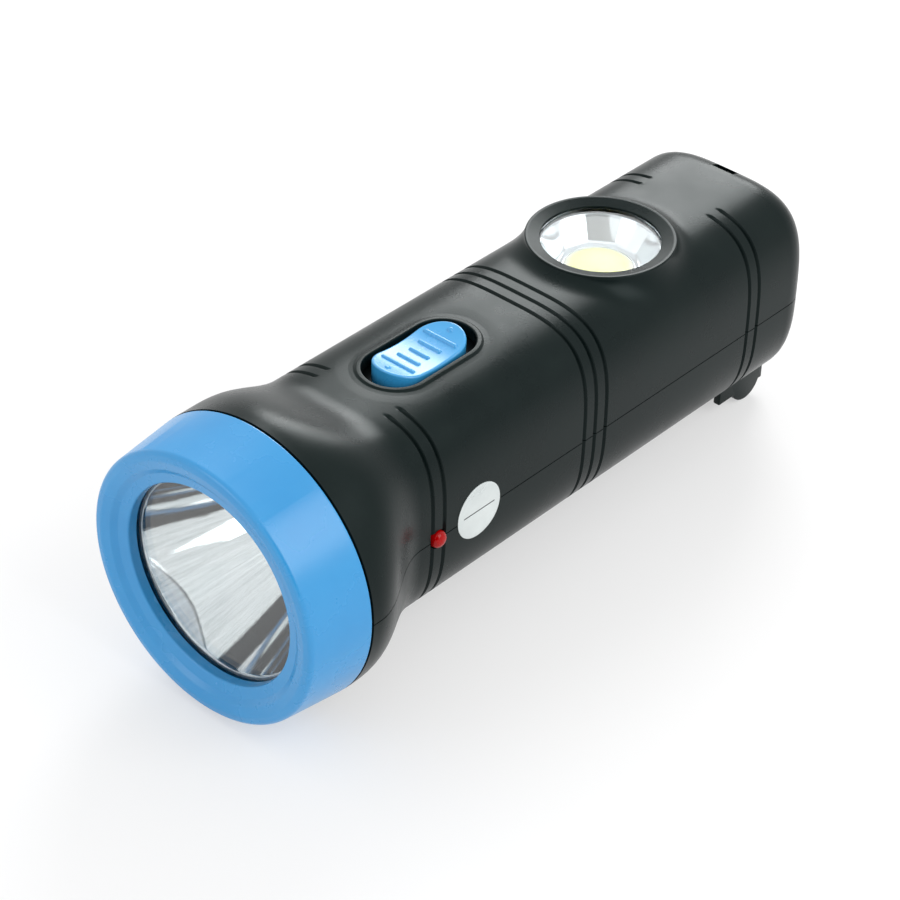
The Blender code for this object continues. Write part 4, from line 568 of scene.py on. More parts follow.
# %% Rows of the skin
def skin_rows():
    """Rows as (flat distance, along, drop, share of the tail face)."""
    rows = [(4.0, 7.2, "spigot", 1), (9.2, 12.4, "spigot", 1)]
    stations = list(np.arange(12.5, TAIL_EDGE + 0.1, 1.1)) + [12.4, CONE_START, CONE_END, TAIL_EDGE]
    half = np.array([0, 0.1, 0.25, 0.4, 0.55, 0.7, 0.85, 1, 1.25, 1.9])
    shares = np.concatenate([-half[:0:-1], half])
    for middle, _ in GROOVES:
        stations = [s for s in stations if abs(s - middle) > GROOVE_HALF + 0.5]
        stations += list(middle + GROOVE_HALF * shares)
    rows += [(s, s, 0.0, 1) for s in sorted(set(np.round(stations, 4)))]
    for turn in np.linspace(0, math.pi / 2, 10)[1:]:
        along, drop = TAIL_EDGE + TAIL_ROUNDING * math.sin(turn), TAIL_ROUNDING * (1 - math.cos(turn))
        rows.append((TAIL_EDGE + TAIL_ROUNDING * turn, along, drop, 1))
    for share in (0.97, 0.8, 0.6, 0.4, 0.2, 0.0):
        rows.append((135.725 + 13.6 * (1 - share), LENGTH, TAIL_ROUNDING, share))
    return rows


ROWS = skin_rows()
FLAT_SCALE = 18.0
COLUMNS = 121


def skin_grid(upper):
    """The whole half skin as arrays over rows and columns, and its flat pattern."""
    angle = np.linspace(0, math.pi, COLUMNS)[None, :]
    flat = np.array([row[0] for row in ROWS])[:, None]
    along = np.array([row[1] for row in ROWS])[:, None]
    drop = np.array([0.0 if row[2] == "spigot" else row[2] for row in ROWS])[:, None]
    share = np.array([row[3] for row in ROWS])[:, None]
    across, above = rim_point(along, angle, drop, upper)
    spigot = np.array([row[2] == "spigot" for row in ROWS])[:, None]
    side = 1 if upper else -1
    across = np.where(spigot, SPIGOT_RADIUS * np.cos(angle), across * share)
    above = np.where(spigot, SPIGOT_RADIUS * np.sin(angle) * side, above * share)
    above[:, 0] = above[:, -1] = 0.0
    above = np.where(np.abs(above) < PARTING, PARTING * side, above)
    return across, along + 0 * angle, above, flat + 0 * angle, angle * FLAT_SCALE + 0 * flat


print("rows:", len(ROWS), "columns:", COLUMNS)

# %% [markdown]
# ## Openings drawn into the skin
# The lamp mound and the switch slot have crisp round edges that a plain grid can't follow. So
# the skin is cut as a tailor cuts cloth: it is laid out flat, the outlines of the openings are
# drawn on it, and a constrained triangulation joins the grid to them. Inside an outline the
# surface goes on as rings that share the outline's points.

# %% Flat pattern with openings
def flat_place(across, along):
    """Where a point of the top lies on the flat pattern: the angle that reaches that width."""
    wide, tall, power = section_sizes(along, True)
    above = tall * np.clip(1 - np.abs(across / wide) ** power, 0, 1) ** (1 / power)
    return along, np.arctan2(above / tall, across / wide) * FLAT_SCALE, above


def inside_loop(points, loop):
    """True where a ray from the point crosses the loop an odd number of times."""
    x, y = points[:, 0][:, None], points[:, 1][:, None]
    x1, y1 = loop[:, 0][None, :], loop[:, 1][None, :]
    x2, y2 = np.roll(x1, -1, axis=1), np.roll(y1, -1, axis=1)
    crosses = (y1 > y) != (y2 > y)
    with np.errstate(divide="ignore", invalid="ignore"):
        hit = x < (x2 - x1) * (y - y1) / (y2 - y1) + x1
    return (crosses & hit).sum(axis=1) % 2 == 1


def distance_to_loop(points, loop):
    """The distance from each point to the loop's nearest corner."""
    return np.sqrt(((points[:, None, :] - loop[None, :, :]) ** 2).sum(axis=2)).min(axis=1)


print("the top's middle on the flat pattern:", [round(float(v), 2) for v in flat_place(0.0, LAMP_ALONG)])

# %% [markdown]
# The lamp's mound rises out of the body in a hollow curve, ends in a rounded rim, and has a
# slightly dished top round the opening. The slot has a narrow raised rim.

# %% Rings of the mound and the slot
ROUND = 128


def mound_rings():
    """Rings round the lamp's axis, from the body up the flare, over the rim and down the bore."""
    angle = np.linspace(0, 2 * math.pi, ROUND, endpoint=False)
    foot = 15.7 + 1.3 * np.sin(angle) ** 2
    rings = []
    for share in np.linspace(1, 0, 15):
        radius = 12.8 + (foot - 12.8) * share**1.25
        across, along = radius * np.cos(angle), LAMP_ALONG + radius * np.sin(angle)
        _, _, body = flat_place(across, along)
        _, _, start = flat_place(12.8 * np.cos(angle), LAMP_ALONG + 0 * angle)
        rise = (20.75 - start) * (1 - share) ** 2.3
        rings.append(np.stack([across, along, body + rise + 0 * angle], axis=1))
    top = rounded([
        (12.8, 20.4, 0), (12.8, 21.1, 0.28), (12.2, 21.02, 0.3), (10.2, 20.5, 0.12), (10.2, 20.3, 0.0),
        (11.1, 20.3, 0.0), (11.1, 15.6, 0), (12.5, 15.6, 0), (12.5, 12.9, 0),
    ], 5, closed=False)
    for radius, above in top[1:]:
        across, along = radius * np.cos(angle), LAMP_ALONG + radius * np.sin(angle)
        rings.append(np.stack([across, along, above + 0 * angle], axis=1))
    return rings


def stadium(half_length, half_width, count):
    """An outline of two half circles and two straights, evenly stepped, long along the torch."""
    straight = 2 * (half_length - half_width)
    total = 2 * straight + 2 * math.pi * half_width
    run = np.linspace(0, total, count, endpoint=False)
    turn = math.pi * half_width
    first_end, straight_end, second_end = run < turn, run < turn + straight, run < 2 * turn + straight
    angle = np.select([first_end, straight_end, second_end],
                      [run / half_width, math.pi, (run - straight) / half_width], 2 * math.pi)
    slide = np.select([first_end, straight_end, second_end],
                      [0.5, 0.5 - (run - turn) / straight, -0.5],
                      -0.5 + (run - 2 * turn - straight) / straight)
    return half_width * np.cos(angle), slide * straight + half_width * np.sin(angle)


def slot_rings():
    """Rings round the switch slot: a soft hollow, the raised rim, its rounded edges, the slot wall."""
    profile = rounded([
        (3.8, 0.0, 0), (2.0, -0.09, 1.2), (1.15, -0.08, 0.4), (0.75, 0.13, 0.35), (0.0, 0.13, 0.22), (0.0, -4.4, 0),
    ], 4, closed=False)
    rings = []
    for grow, rise in profile:
        across, along = stadium(11.0 + grow, 5.4 + grow, ROUND)
        _, _, body = flat_place(across, SWITCH_ALONG + along)
        level = np.clip(1 - grow / 1.3, 0, 1)
        above = (body + (TOP - body) * level) + rise if rise > -4 else 0 * body + TOP + rise
        rings.append(np.stack([across, SWITCH_ALONG + along, above], axis=1))
    return rings


print("rings of the mound and the slot:", len(mound_rings()), len(slot_rings()))

# %% [markdown]
# The upper half is then one mesh: the flat pattern carries the triangles, each point keeps its
# place in space, the rings go on from the outlines, and two flat faces close the half. A closed
# mesh is what the Boolean steps below need.

# %% Upper skin as one closed solid
def stitched(rings, start):
    """Faces between rings that follow each other, the first of which starts at a known point."""
    return grid_faces(len(rings), len(rings[0]), wrap=True, start=start)


def upper_solid():
    """Grid outside the outlines, rings inside them, and a flat face at the parting line."""
    across, along, above, flat, turn = (part.reshape(-1) for part in skin_grid(True))
    spread = np.stack([flat, turn], axis=1)
    places = np.stack([across, along, above], axis=1)
    openings = [mound_rings(), slot_rings()]
    loops = []
    keep = np.ones(len(spread), bool)
    for rings in openings:
        run, side, _ = flat_place(rings[0][:, 0], rings[0][:, 1])
        loop = np.stack([run, side], axis=1)
        loops.append(loop)
        near = np.abs(spread[:, 0] - loop[:, 0].mean()) < 22
        clear = np.ones(len(spread), bool)
        clear[near] = (distance_to_loop(spread[near], loop) > 0.32) & ~inside_loop(spread[near], loop)
        keep &= clear
    spread, places = spread[keep], places[keep]
    points2d = np.concatenate([spread] + loops)
    edges = []
    start = len(spread)
    for loop in loops:
        index = np.arange(len(loop))
        edges += np.stack([start + index, start + (index + 1) % len(loop)], axis=1).tolist()
        start += len(loop)
    made = delaunay_2d_cdt([Vector(p) for p in points2d.tolist()], edges, [], 0, 1e-7)
    source = np.array([sources[0] for sources in made[3]])
    faces = source[np.array(made[2])]
    for loop in loops:
        faces = faces[~inside_loop(points2d[faces].mean(axis=1), loop)]
    rows = np.concatenate([places] + [rings[0] for rings in openings])
    faces = [tuple(face) for face in faces.tolist()]
    start = len(places)
    for rings in openings:
        count = len(rings[0])
        rest = np.concatenate(rings[1:])
        base = len(rows)
        index = np.arange(count)
        following = (index + 1) % count
        faces += np.stack([start + index, start + following, base + following, base + index], axis=1).tolist()
        faces += stitched(rings[1:], base).tolist()
        faces.append(tuple(range(base + len(rest) - count, base + len(rest))))
        rows = np.concatenate([rows, rest])
        start += count
    return close_half(rows, faces, places, spread)


def close_half(rows, faces, places, spread):
    """Adds the flat parting face and the round front face to a half skin."""
    right = np.flatnonzero(spread[:, 1] == 0)
    left = np.flatnonzero(spread[:, 1] == spread[:, 1].max())
    front = np.flatnonzero(spread[:, 0] == spread[:, 0].min())
    right, left = right[np.argsort(spread[right, 0])], left[np.argsort(spread[left, 0])]
    front = front[np.argsort(spread[front, 1])]
    faces = list(faces) + [tuple(front)]
    faces.append(tuple(np.concatenate([right, left[::-1][1:]]).tolist()))
    return rows, faces


def recalculated(mesh):
    """Normals of a closed mesh turned outwards."""
    work = bmesh.new()
    work.from_mesh(mesh)
    bmesh.ops.recalc_face_normals(work, faces=work.faces)
    work.to_mesh(mesh)
    work.free()


def solid_piece(name, rows, faces):
    """A closed half made a mesh: points that share a place are joined, normals point outwards."""
    points = spot(rows[:, 0], rows[:, 1], rows[:, 2])
    piece = make_mesh(name, *welded(points, faces))
    recalculated(piece.data)
    piece.data.shade_smooth()
    return piece


upper = solid_piece("upper_casing", *upper_solid())
print("upper skin faces:", len(upper.data.polygons))

# %% [markdown]
# The lower half has no mound or slot, so its grid is used as it is.

# %% Lower skin as one closed solid
def lower_solid():
    """The lower half's grid, with the flat parting face and the round front face."""
    across, along, above, flat, turn = skin_grid(False)
    rows, columns = across.shape
    places = np.stack([across, along, above], axis=-1).reshape(-1, 3)
    spread = np.stack([flat, turn], axis=-1).reshape(-1, 2)
    faces = grid_faces(rows, columns).tolist()
    return close_half(places, faces, places, spread)


lower = solid_piece("lower_casing", *lower_solid())
print("lower skin faces:", len(lower.data.polygons))

# %% [markdown]
# ## Hollow, bosses and openings
# A moulded casing is a thin wall with bosses and pockets inside. The hollow is a second loft,
# two millimetres inside the skin. Bosses are first cut out of the hollow, so that they stay
# when the hollow is cut out of the skin. Boolean modifiers do this, because a boss meets the
# curved wall along a line that has no simple formula.

# %% Tools for the hollow
HIDDEN = bpy.data.collections.new("cutting tools")


def as_tool(piece):
    """The piece turned outwards and put among the tools."""
    recalculated(piece.data)
    bpy.context.scene.collection.objects.unlink(piece)
    HIDDEN.objects.link(piece)
    return piece


def tool(name, points, faces):
    """A closed mesh among the tools."""
    return as_tool(make_mesh(name, *welded(points, faces)))


def box_tool(name, low, high):
    """A box between two corners (across, along, above)."""
    grid = np.array([[x, y, z] for x in (0, 1) for y in (0, 1) for z in (0, 1)])
    corner = np.array(low) + grid * (np.array(high) - np.array(low))
    faces = [(0, 1, 3, 2), (4, 6, 7, 5), (0, 4, 5, 1), (2, 3, 7, 6), (0, 2, 6, 4), (1, 5, 7, 3)]
    return tool(name, spot(corner[:, 0], corner[:, 1], corner[:, 2]), faces)


def drum_tool(name, radius, low, high, centre, axis, steps=48):
    """A round bar between two distances along its axis."""
    profile = [(0, low), (radius, low), (radius, high), (0, high)]
    return as_tool(turned(name, profile, centre, axis, steps))


def hollow_tool(name):
    """The inside of the casing: the skin's section less two millimetres, rounded at the tail."""
    angle = np.linspace(0, 2 * math.pi, 96, endpoint=False)
    rings = []
    for along in (5.7, 12.4):
        rings.append(np.stack([BORE_RADIUS * np.cos(angle), along + 0 * angle, BORE_RADIUS * np.sin(angle)], axis=1))
    stations = [(s, s + 1, WALL) for s in np.linspace(CONE_START, CONE_END, 12)]
    inner = TAIL_ROUNDING - WALL
    for turn in np.linspace(0, math.pi / 2, 6):
        stations.append((TAIL_EDGE, TAIL_EDGE + inner * math.sin(turn), WALL + inner * (1 - math.cos(turn))))
    top_half = np.sin(angle) >= 0
    for shape, along, drop in stations:
        halves = [rim_point(np.array(shape), angle, drop, upper, False) for upper in (True, False)]
        across, above = (np.where(top_half, *pair) for pair in zip(*halves))
        rings.append(np.stack([across, along + 0 * angle, above], axis=1))
    rows = np.concatenate(rings)
    count = len(angle)
    faces = stitched(rings, 0).tolist()
    faces += [tuple(range(count)), tuple(range(len(rows) - count, len(rows)))]
    return tool(name, spot(rows[:, 0], rows[:, 1], rows[:, 2]), faces)


def settle(piece):
    """The piece's modifiers applied, smooth shading and sharp edges by angle."""
    bpy.context.view_layer.update()
    graph = bpy.context.evaluated_depsgraph_get()
    mesh = bpy.data.meshes.new_from_object(piece.evaluated_get(graph))
    piece.modifiers.clear()
    piece.data = mesh
    mesh.shade_smooth()
    mesh.set_sharp_from_angle(angle=math.radians(32))


def combine(piece, tools, operation):
    """An exact Boolean with each tool in turn, applied to the piece's mesh."""
    for other in tools:
        change = piece.modifiers.new("shape", "BOOLEAN")
        change.operation = operation
        change.solver = "EXACT"
        change.object = other
    settle(piece)


print("tools are kept in:", HIDDEN.name)

# %% [markdown]
# The upper half keeps bosses for its screws, the seat of the side lamp and a pocket round the
# lanyard slot. Each is a simple bar or box, so tools are quicker here than a formula.

# %% Cut the upper half
SCREWS = [(side * 11.2, along) for along in (39.5, 117.8) for side in (-1, 1)]
bpy.context.scene.collection.children.link(HIDDEN)
upper_hollow = hollow_tool("upper hollow")
kept = [drum_tool(f"upper boss {i}", 3.1, -3, 19.6, (x, y, 0), "up", 32) for i, (x, y) in enumerate(SCREWS)]
kept.append(drum_tool("lamp seat", 14.0, 12.6, 18.6, (0, LAMP_ALONG, 0), "up", 64))
kept.append(box_tool("lanyard pocket", (-3.8, 125.9, 9.6), (3.8, 130.9, 19.6)))
combine(upper_hollow, kept, "DIFFERENCE")
openings = [upper_hollow]
openings += [drum_tool(f"pilot {i}", 1.3, -3, 8.8, (x, y, 0), "up", 24) for i, (x, y) in enumerate(SCREWS)]
openings.append(box_tool("lanyard slot down", (-2.3, 127.3, 11.1), (2.3, 129.4, 22)))
openings.append(box_tool("lanyard slot back", (-2.3, 127.3, 11.1), (2.3, 134, 13.0)))
openings.append(drum_tool("light hole above", 1.72, 14, 20, (0, LIGHT_ALONG, 0), "across", 48))
combine(upper, openings, "DIFFERENCE")
print("upper casing faces:", len(upper.data.polygons))


# %% [markdown]
# Flat pieces, such as the cheeks, the rotor and the blades, are outlines seen from the side.
# They get a thickness across the torch, and a Bevel modifier softens their edges.

# %% Plates with a side view
def plate_piece(name, outline, low, high, bevel=0.0):
    """An outline seen from the side (along, above) given a thickness across, edges softened."""
    outline = np.array(outline)
    count = len(outline)
    left = spot(np.full(count, low), outline[:, 0], outline[:, 1])
    right = spot(np.full(count, high), outline[:, 0], outline[:, 1])
    index = np.arange(count)
    faces = np.stack([index, (index + 1) % count, (index + 1) % count + count, index + count], axis=1).tolist()
    faces += [tuple(range(count)), tuple(range(count, 2 * count))]
    piece = make_mesh(name, np.concatenate([left, right]), faces)
    recalculated(piece.data)
    if bevel:
        soft = piece.modifiers.new("soft edge", "BEVEL")
        soft.width, soft.segments, soft.angle_limit = bevel / 1000, 3, math.radians(40)
        settle(piece)
    return piece


def arc(centre, radius, start, end, steps):
    """Points of a circle's arc: centre + radius (cos, sin) of evenly spaced angles."""
    turn = np.radians(np.linspace(start, end, steps))
    return np.stack([centre[0] + radius * np.cos(turn), centre[1] + radius * np.sin(turn)], axis=1)


# %% [markdown]
# The lower half carries the fold-out plug between two cheeks, in a pocket with two channels
# for the blades. Four counterbores take the screws.

# %% Cut the lower half
PIVOT = (127.6, -20.7)
BLADE_OFFSET = 6.35
cheek = np.concatenate([
    [(119.7, -5.1), (119.7, -22.4)],
    arc(PIVOT, 4.0, 180 + math.degrees(math.asin(1.7 / 4)), 360 - math.degrees(math.asin(1.5 / 4)), 24),
    [(132.2, -22.2), (132.2, -11.0), (130.0, -11.0), (127.6, -5.1)],
])
lower_hollow = hollow_tool("lower hollow")
walls = [drum_tool(f"lower boss {i}", 3.1, -17.6, 3, (x, y, 0), "up", 32) for i, (x, y) in enumerate(SCREWS)]
walls.append(box_tool("pocket walls", (-9.4, 115.9, -22), (9.4, 131.6, -10.1)))
walls.append(box_tool("channel walls", (-9.0, 104.6, -22), (9.0, 118, -10.9)))
combine(lower_hollow, walls, "DIFFERENCE")
for side, low in (("left", -9.5), ("right", 8.1)):
    combine(lower, [as_tool(plate_piece(f"cheek {side}", cheek, low, low + 1.4, 0.25))], "UNION")
openings = [lower_hollow]
openings.append(box_tool("plug pocket", (-8.1, 117.7, -40), (8.1, 129.8, -11.4)))
openings.append(box_tool("plug pocket mouth", (-8.1, 117.7, -40), (8.1, 134, -16.8)))
openings.append(drum_tool("axle bore", 1.15, -8.9, 8.9, (0, *PIVOT), "across", 32))
openings.append(drum_tool("light hole below", 1.72, 14, 20, (0, LIGHT_ALONG, 0), "across", 48))
for side in (-1, 1):
    middle = side * BLADE_OFFSET
    openings.append(box_tool(f"blade channel {side}", (middle - 1.05, 106.0, -40), (middle + 1.05, 118, -12.2)))
for index, (across, along) in enumerate(SCREWS):
    openings.append(drum_tool(f"screw hole {index}", 1.3, -17, 3, (across, along, 0), "up", 24))
    openings.append(drum_tool(f"head seat {index}", 2.4, -19.1, -11.8, (across, along, 0), "up", 48))
combine(lower, openings, "DIFFERENCE")
for piece, node in ((upper, "upper_shell"), (lower, "lower_shell")):
    place_piece(piece, BLACK, "black_plastic", "case", node)


print("screw seats in the lower half:", len(SCREWS))

# %% [markdown]
# ## Blue ring, window and reflector
# The ring screws over the head. Its front is dished between a soft crest and a ledge at the
# window. The window is a clear disc. The cup behind it is a parabola, plated like a mirror.

# %% Ring, window, cup and emitter
ring_profile = rounded([
    (21.8, 12.1, 0.2), (24.7, 12.1, 0.25), (23.4, 0.2, 1.9), (21.9, 0.0, 1.2), (20.3, 0.5, 1.0),
    (19.3, 1.25, 0.5), (17.4, 1.7, 0.35), (17.4, 3.5, 0.1), (21.8, 3.5, 0.2),
], 6)
ring = turned("lens_ring", ring_profile, (0, 0, 0), "along", 160)
place_piece(ring, BLUE, "blue_plastic", "case", "bezel_ring")
pane = rounded([(0, 3.6, 0), (21.1, 3.6, 0.2), (21.1, 4.8, 0.2), (0, 4.8, 0)], 4, closed=False)
window = turned("front_window", pane, (0, 0, 0), "along", 128)
place_piece(window, CLEAR, "clear_plastic", "case", "front_lens")
depth = np.linspace(0, 1, 60)
cup = np.stack([np.sqrt(4.2**2 + (17.0**2 - 4.2**2) * depth), 29.7 - 24.8 * depth], axis=1)
back = np.stack([np.sqrt(4.2**2 + (17.2**2 - 4.2**2) * depth) + 1.2, 29.7 - 24 * depth], axis=1)
back = back[back[:, 1] > 7.0]
lip = rounded([
    (21.1, 6.9, 0), (21.1, 5.5, 0.1), (17.75, 5.5, 0.1), (17.6, 4.88, 0.1), (17.05, 4.84, 0.05), (17.0, 4.9, 0),
], 4, closed=False)[:-1]
cup_profile = np.concatenate([back, lip, cup[::-1]])
reflector = turned("reflector_cup", cup_profile, (0, 0, 0), "along", 160)
place_piece(reflector, CHROME, "chrome_plating", "case", "main_reflector")
base = [(0, 29.7), (3.8, 29.7), (3.8, 28.6), (3.7, 28.5), (2.65, 28.5)]
emitter_profile = np.concatenate([base, arc((0, 28.5), 2.6, 0, -90, 16)[1:-1], [(0, 25.9)]])
emitter = turned("emitter_dome", emitter_profile, (0, 0, 0), "along", 64)
place_piece(emitter, DOME, "led_resin", "case", "main_led")

# %% [markdown]
# ## Thumb slider
# The slider's top is one height field. Its outline is a stadium, hollowed a little for the
# thumb, with five ribs across and a dot at each end. A second grid carries its skirt, flange
# and fork down to the switch lever.

# %% Slider
def slider_top(run, width):
    """Height over (along, across): scoop + ribs + dots, rounded where it meets the outline."""
    half_length, half_width = 8.9, 4.6
    straight = half_length - half_width
    past = np.clip(np.abs(run) - straight, 0, None)
    reach = np.sqrt(np.clip(half_width**2 - past**2, 0, None))
    across = width * reach
    edge = half_width - np.hypot(across, past)
    height = 21.0 - 1.5 * np.clip(1 - (run / half_length) ** 2, 0, 1)
    for index, length in enumerate((6.8, 4.6, 4.0, 4.6, 6.8)):
        off = run - (index - 2) * 2.45
        end = np.clip(np.abs(across) - (length / 2 - 0.3), 0, None)
        height = height + 0.38 * np.sqrt(np.clip(1 - (off**2 + end**2) / 0.38**2, 0, 1))
    for side in (-1, 1):
        spread = np.hypot(run - side * 7.3, across) / 0.5
        height = height + 0.3 * np.sqrt(np.clip(1 - spread**2, 0, 1))
    soft = 0.45
    inside = np.clip(edge / soft, 0, 1)
    return across, height - soft * (1 - np.sqrt(np.clip(1 - (1 - inside) ** 2, 0, 1)))


def slider_solid():
    """The top's grid and its flat copy below, joined round the border by upright faces."""
    rows, columns = 260, 121
    run = -8.9 * np.cos(np.linspace(0, math.pi, rows))[:, None] + np.zeros(columns)
    width = np.sin(np.linspace(-math.pi / 2, math.pi / 2, columns))[None, :]
    across, height = slider_top(run, width)
    top = np.stack([across, SWITCH_ALONG + run, height], axis=-1)
    low = top.copy()
    low[..., 2] = 16.6
    grid = grid_faces(rows, columns)
    count = rows * columns
    faces = grid.tolist() + (grid[:, ::-1] + count).tolist()
    border = np.concatenate([
        np.arange(columns), np.arange(1, rows) * columns + columns - 1,
        (rows - 1) * columns + np.arange(columns - 2, -1, -1), np.arange(rows - 2, 0, -1) * columns,
    ])
    following = np.roll(border, -1)
    faces += np.stack([border, border + count, following + count, following], axis=1).tolist()
    points = np.concatenate([top.reshape(-1, 3), low.reshape(-1, 3)])
    return points, faces


points, faces = slider_solid()
slider = make_mesh("thumb_slider", *welded(spot(points[:, 0], points[:, 1], points[:, 2]), faces), 40)
recalculated(slider.data)
place_piece(slider, SLIDER_BLUE_PAINTED_LIGHT, "blue_plastic", "switch", "switch_slider")


def stadium_block(name, half_length, half_width, low, high, edge):
    """Rings of a stadium outline: the edge radius shrinks the outline near the top and bottom."""
    corner = 0.3 * edge
    profile = [
        (edge, low), (corner, low + corner), (0, low + edge), (0, high - edge), (corner, high - corner), (edge, high),
    ]
    rings = []
    for shrink, above in profile:
        across, along = stadium(half_length - shrink, half_width - shrink, 72)
        rings.append(np.stack([across, SWITCH_ALONG + along, above + 0 * across], axis=1))
    rows = np.concatenate(rings)
    faces = stitched(rings, 0).tolist() + [tuple(range(72)), tuple(range(len(rows) - 72, len(rows)))]
    piece = make_mesh(name, spot(rows[:, 0], rows[:, 1], rows[:, 2]), faces)
    recalculated(piece.data)
    return piece


flange = stadium_block("slider_flange", 13.7, 6.3, 15.9, 17.1, 0.2)
place_piece(flange, DARK, "dark_plastic", "switch", "switch_slider")
fork_outline = [
    (46.0, 15.85), (46.0, 13.3), (47.8, 13.3), (47.8, 15.5), (50.2, 15.5), (50.2, 13.3), (52.0, 13.3), (52.0, 15.85),
]
fork = plate_piece("slider_fork", fork_outline, -3.0, 3.0, 0.1)
place_piece(fork, DARK, "dark_plastic", "switch", "switch_slider")

# %% [markdown]
# ## Side lamp
# A plated dish, a disc of phosphor at its floor and a clear window over it. The dish is turned
# first. Then its wall is drawn in towards ten flat facets, which throw the light evenly: each
# point's distance from the axis is scaled by cos(half a slice) / cos(angle from the slice's
# middle), fully at the floor and not at all at the round mouth.

# %% Lamp dish, phosphor and window
dish_profile = rounded([
    (10.8, 18.9, 0.15), (10.8, 15.3, 0.1), (12.2, 15.3, 0.15), (12.2, 13.9, 0.15), (5.95, 13.9, 0.1),
    (5.95, 14.9, 0.1), (7.4, 14.9, 0.8), (10.0, 18.9, 0.15),
], 5)
dish = turned("lamp_dish", dish_profile, (0, LAMP_ALONG, 0), "up", 160)
dish_points = np.empty(len(dish.data.vertices) * 3, np.float32)
dish.data.vertices.foreach_get("co", dish_points)
dish_points = dish_points.reshape(-1, 3)
off = dish_points - spot(0, LAMP_ALONG, 0)
off[:, 2] = 0
reach, slice_angle = np.hypot(off[:, 0], off[:, 1]), 2 * math.pi / 10
high = dish_points[:, 2] * 1000 - AXIS_HEIGHT
wall = (reach > 0.0068) & (reach < 0.01005) & (high > 14.8)
from_middle = np.mod(np.arctan2(off[:, 1], off[:, 0]), slice_angle) - slice_angle / 2
facet = math.cos(slice_angle / 2) / np.cos(from_middle)
share = np.where(wall, np.clip((18.8 - high) / 3.5, 0, 1), 0)[:, None]
dish_points += off * (facet[:, None] - 1) * share
dish.data.vertices.foreach_set("co", dish_points.ravel().astype(np.float32))
dish.data.update()
dish.data.set_sharp_from_angle(angle=math.radians(12))
place_piece(dish, WHITE, "white_plating", "case", "cob_reflector")
swell = np.linspace(1, 0, 12)
crown = np.stack([5.8 * swell, 14.8 + 1.5 * (1 - swell**2)], axis=1)
disc = np.concatenate([[(0, 13.9), (5.8, 13.9), (5.9, 14.0), (5.9, 14.7)], crown])
phosphor = turned("phosphor_disc", disc, (0, LAMP_ALONG, 0), "up", 96)
place_piece(phosphor, YELLOW, "phosphor_yellow", "case", "cob_phosphor")
pane = rounded([(0, 19.2, 0), (10.4, 19.2, 0.1), (10.4, 20.0, 0.15), (0, 20.0, 0)], 4, closed=False)
lamp_window = turned("lamp_window", pane, (0, LAMP_ALONG, 0), "up", 96)
place_piece(lamp_window, THIN_CLEAR, "clear_plastic", "case", "cob_lens")

# %% [markdown]
# ## Charge light and round sticker
# The charge light is a small red dome in the parting line. The sticker is a thin silver film
# that follows the side of the body.

# %% Charge light and sticker
foot = [(0, 14.6), (1.9, 14.6), (1.9, 15.35), (1.5, 15.4), (1.5, 17.6)]
dome = arc((0, 17.6), 1.5, 0, 90, 12)[1:-1] * [1, 0.73] + [0, 4.75]
light = turned("charge_light", np.concatenate([foot, dome, [(0, 18.7)]]), (0, LIGHT_ALONG, 0), "across", 48)
place_piece(light, RED, "red_epoxy", "case", "charge_led")


def sticker_solid():
    """Discs over the body's side: across = the skin's reach at that height, plus the film."""
    radius = np.array([0, 2.0, 3.6, 4.6, 4.92, 5.0])[:, None]
    turn = np.linspace(0, 2 * math.pi, 72, endpoint=False)[None, :]
    along, above = STICKER_ALONG + radius * np.cos(turn), STICKER_ABOVE + radius * np.sin(turn)
    tall = np.where(above > 0, TOP, BOTTOM)
    power = np.where(above > 0, 3.6, 3.0)
    across = HALF_WIDTH * (1 - np.abs(above / tall) ** power) ** (1 / power)
    outer = np.stack([across + 0.14 - 0.04 * (radius > 4.95), along, above], axis=-1)
    inner = np.stack([across + 0.01, along, above], axis=-1)[::-1]
    grid = np.concatenate([outer, inner]).reshape(-1, 3)
    return grid, grid_faces(12, 72, wrap=True)


points, faces = sticker_solid()
sticker = make_mesh("round_sticker_film", *welded(spot(points[:, 0], points[:, 1], points[:, 2]), faces))
recalculated(sticker.data)
place_piece(sticker, SILVER, "silver_film", "case", "round_sticker")

# %% [markdown]
# ## Fold-out plug
# The rotor turns on a steel axle and carries two flat blades. Their outlines are side views,
# given a thickness and softened edges.

# %% Rotor and blades
rotor_outline = np.concatenate([
    arc(PIVOT, 3.6, 180, 360 + math.degrees(math.acos(1.2 / 3.6)), 40), [(128.8, -11.8), (124.0, -11.8)]
])
rotor = plate_piece("plug_rotor", rotor_outline, -7.8, 7.8, 0.35)
place_piece(rotor, DARK, "dark_plastic", "plug", "plug_hub")
blade = [(108.7, -18.8), (124.0, -18.8), (124.0, -12.5), (108.7, -12.5), (107.5, -13.7), (107.5, -17.6)]
for name, side in (("left", -1), ("right", 1)):
    middle = side * BLADE_OFFSET
    pin = plate_piece(f"plug_pin_{name}", blade, middle - 0.75, middle + 0.75, 0.2)
    hole = drum_tool(f"pin hole {name}", 1.6, middle - 2, middle + 2, (0, 112.2, -15.65), "across", 48)
    combine(pin, [hole], "DIFFERENCE")
    place_piece(pin, BRASS, "plated_brass", "plug", f"plug_blade_{name}")
for other in list(HIDDEN.objects):
    bpy.data.objects.remove(other)
bpy.data.collections.remove(HIDDEN)

# %% [markdown]
# ## Camera, floor and light
# The camera stands where the photograph was taken from, with a long lens. Its three directions
# and its place come from the picture's circles and straight edges.

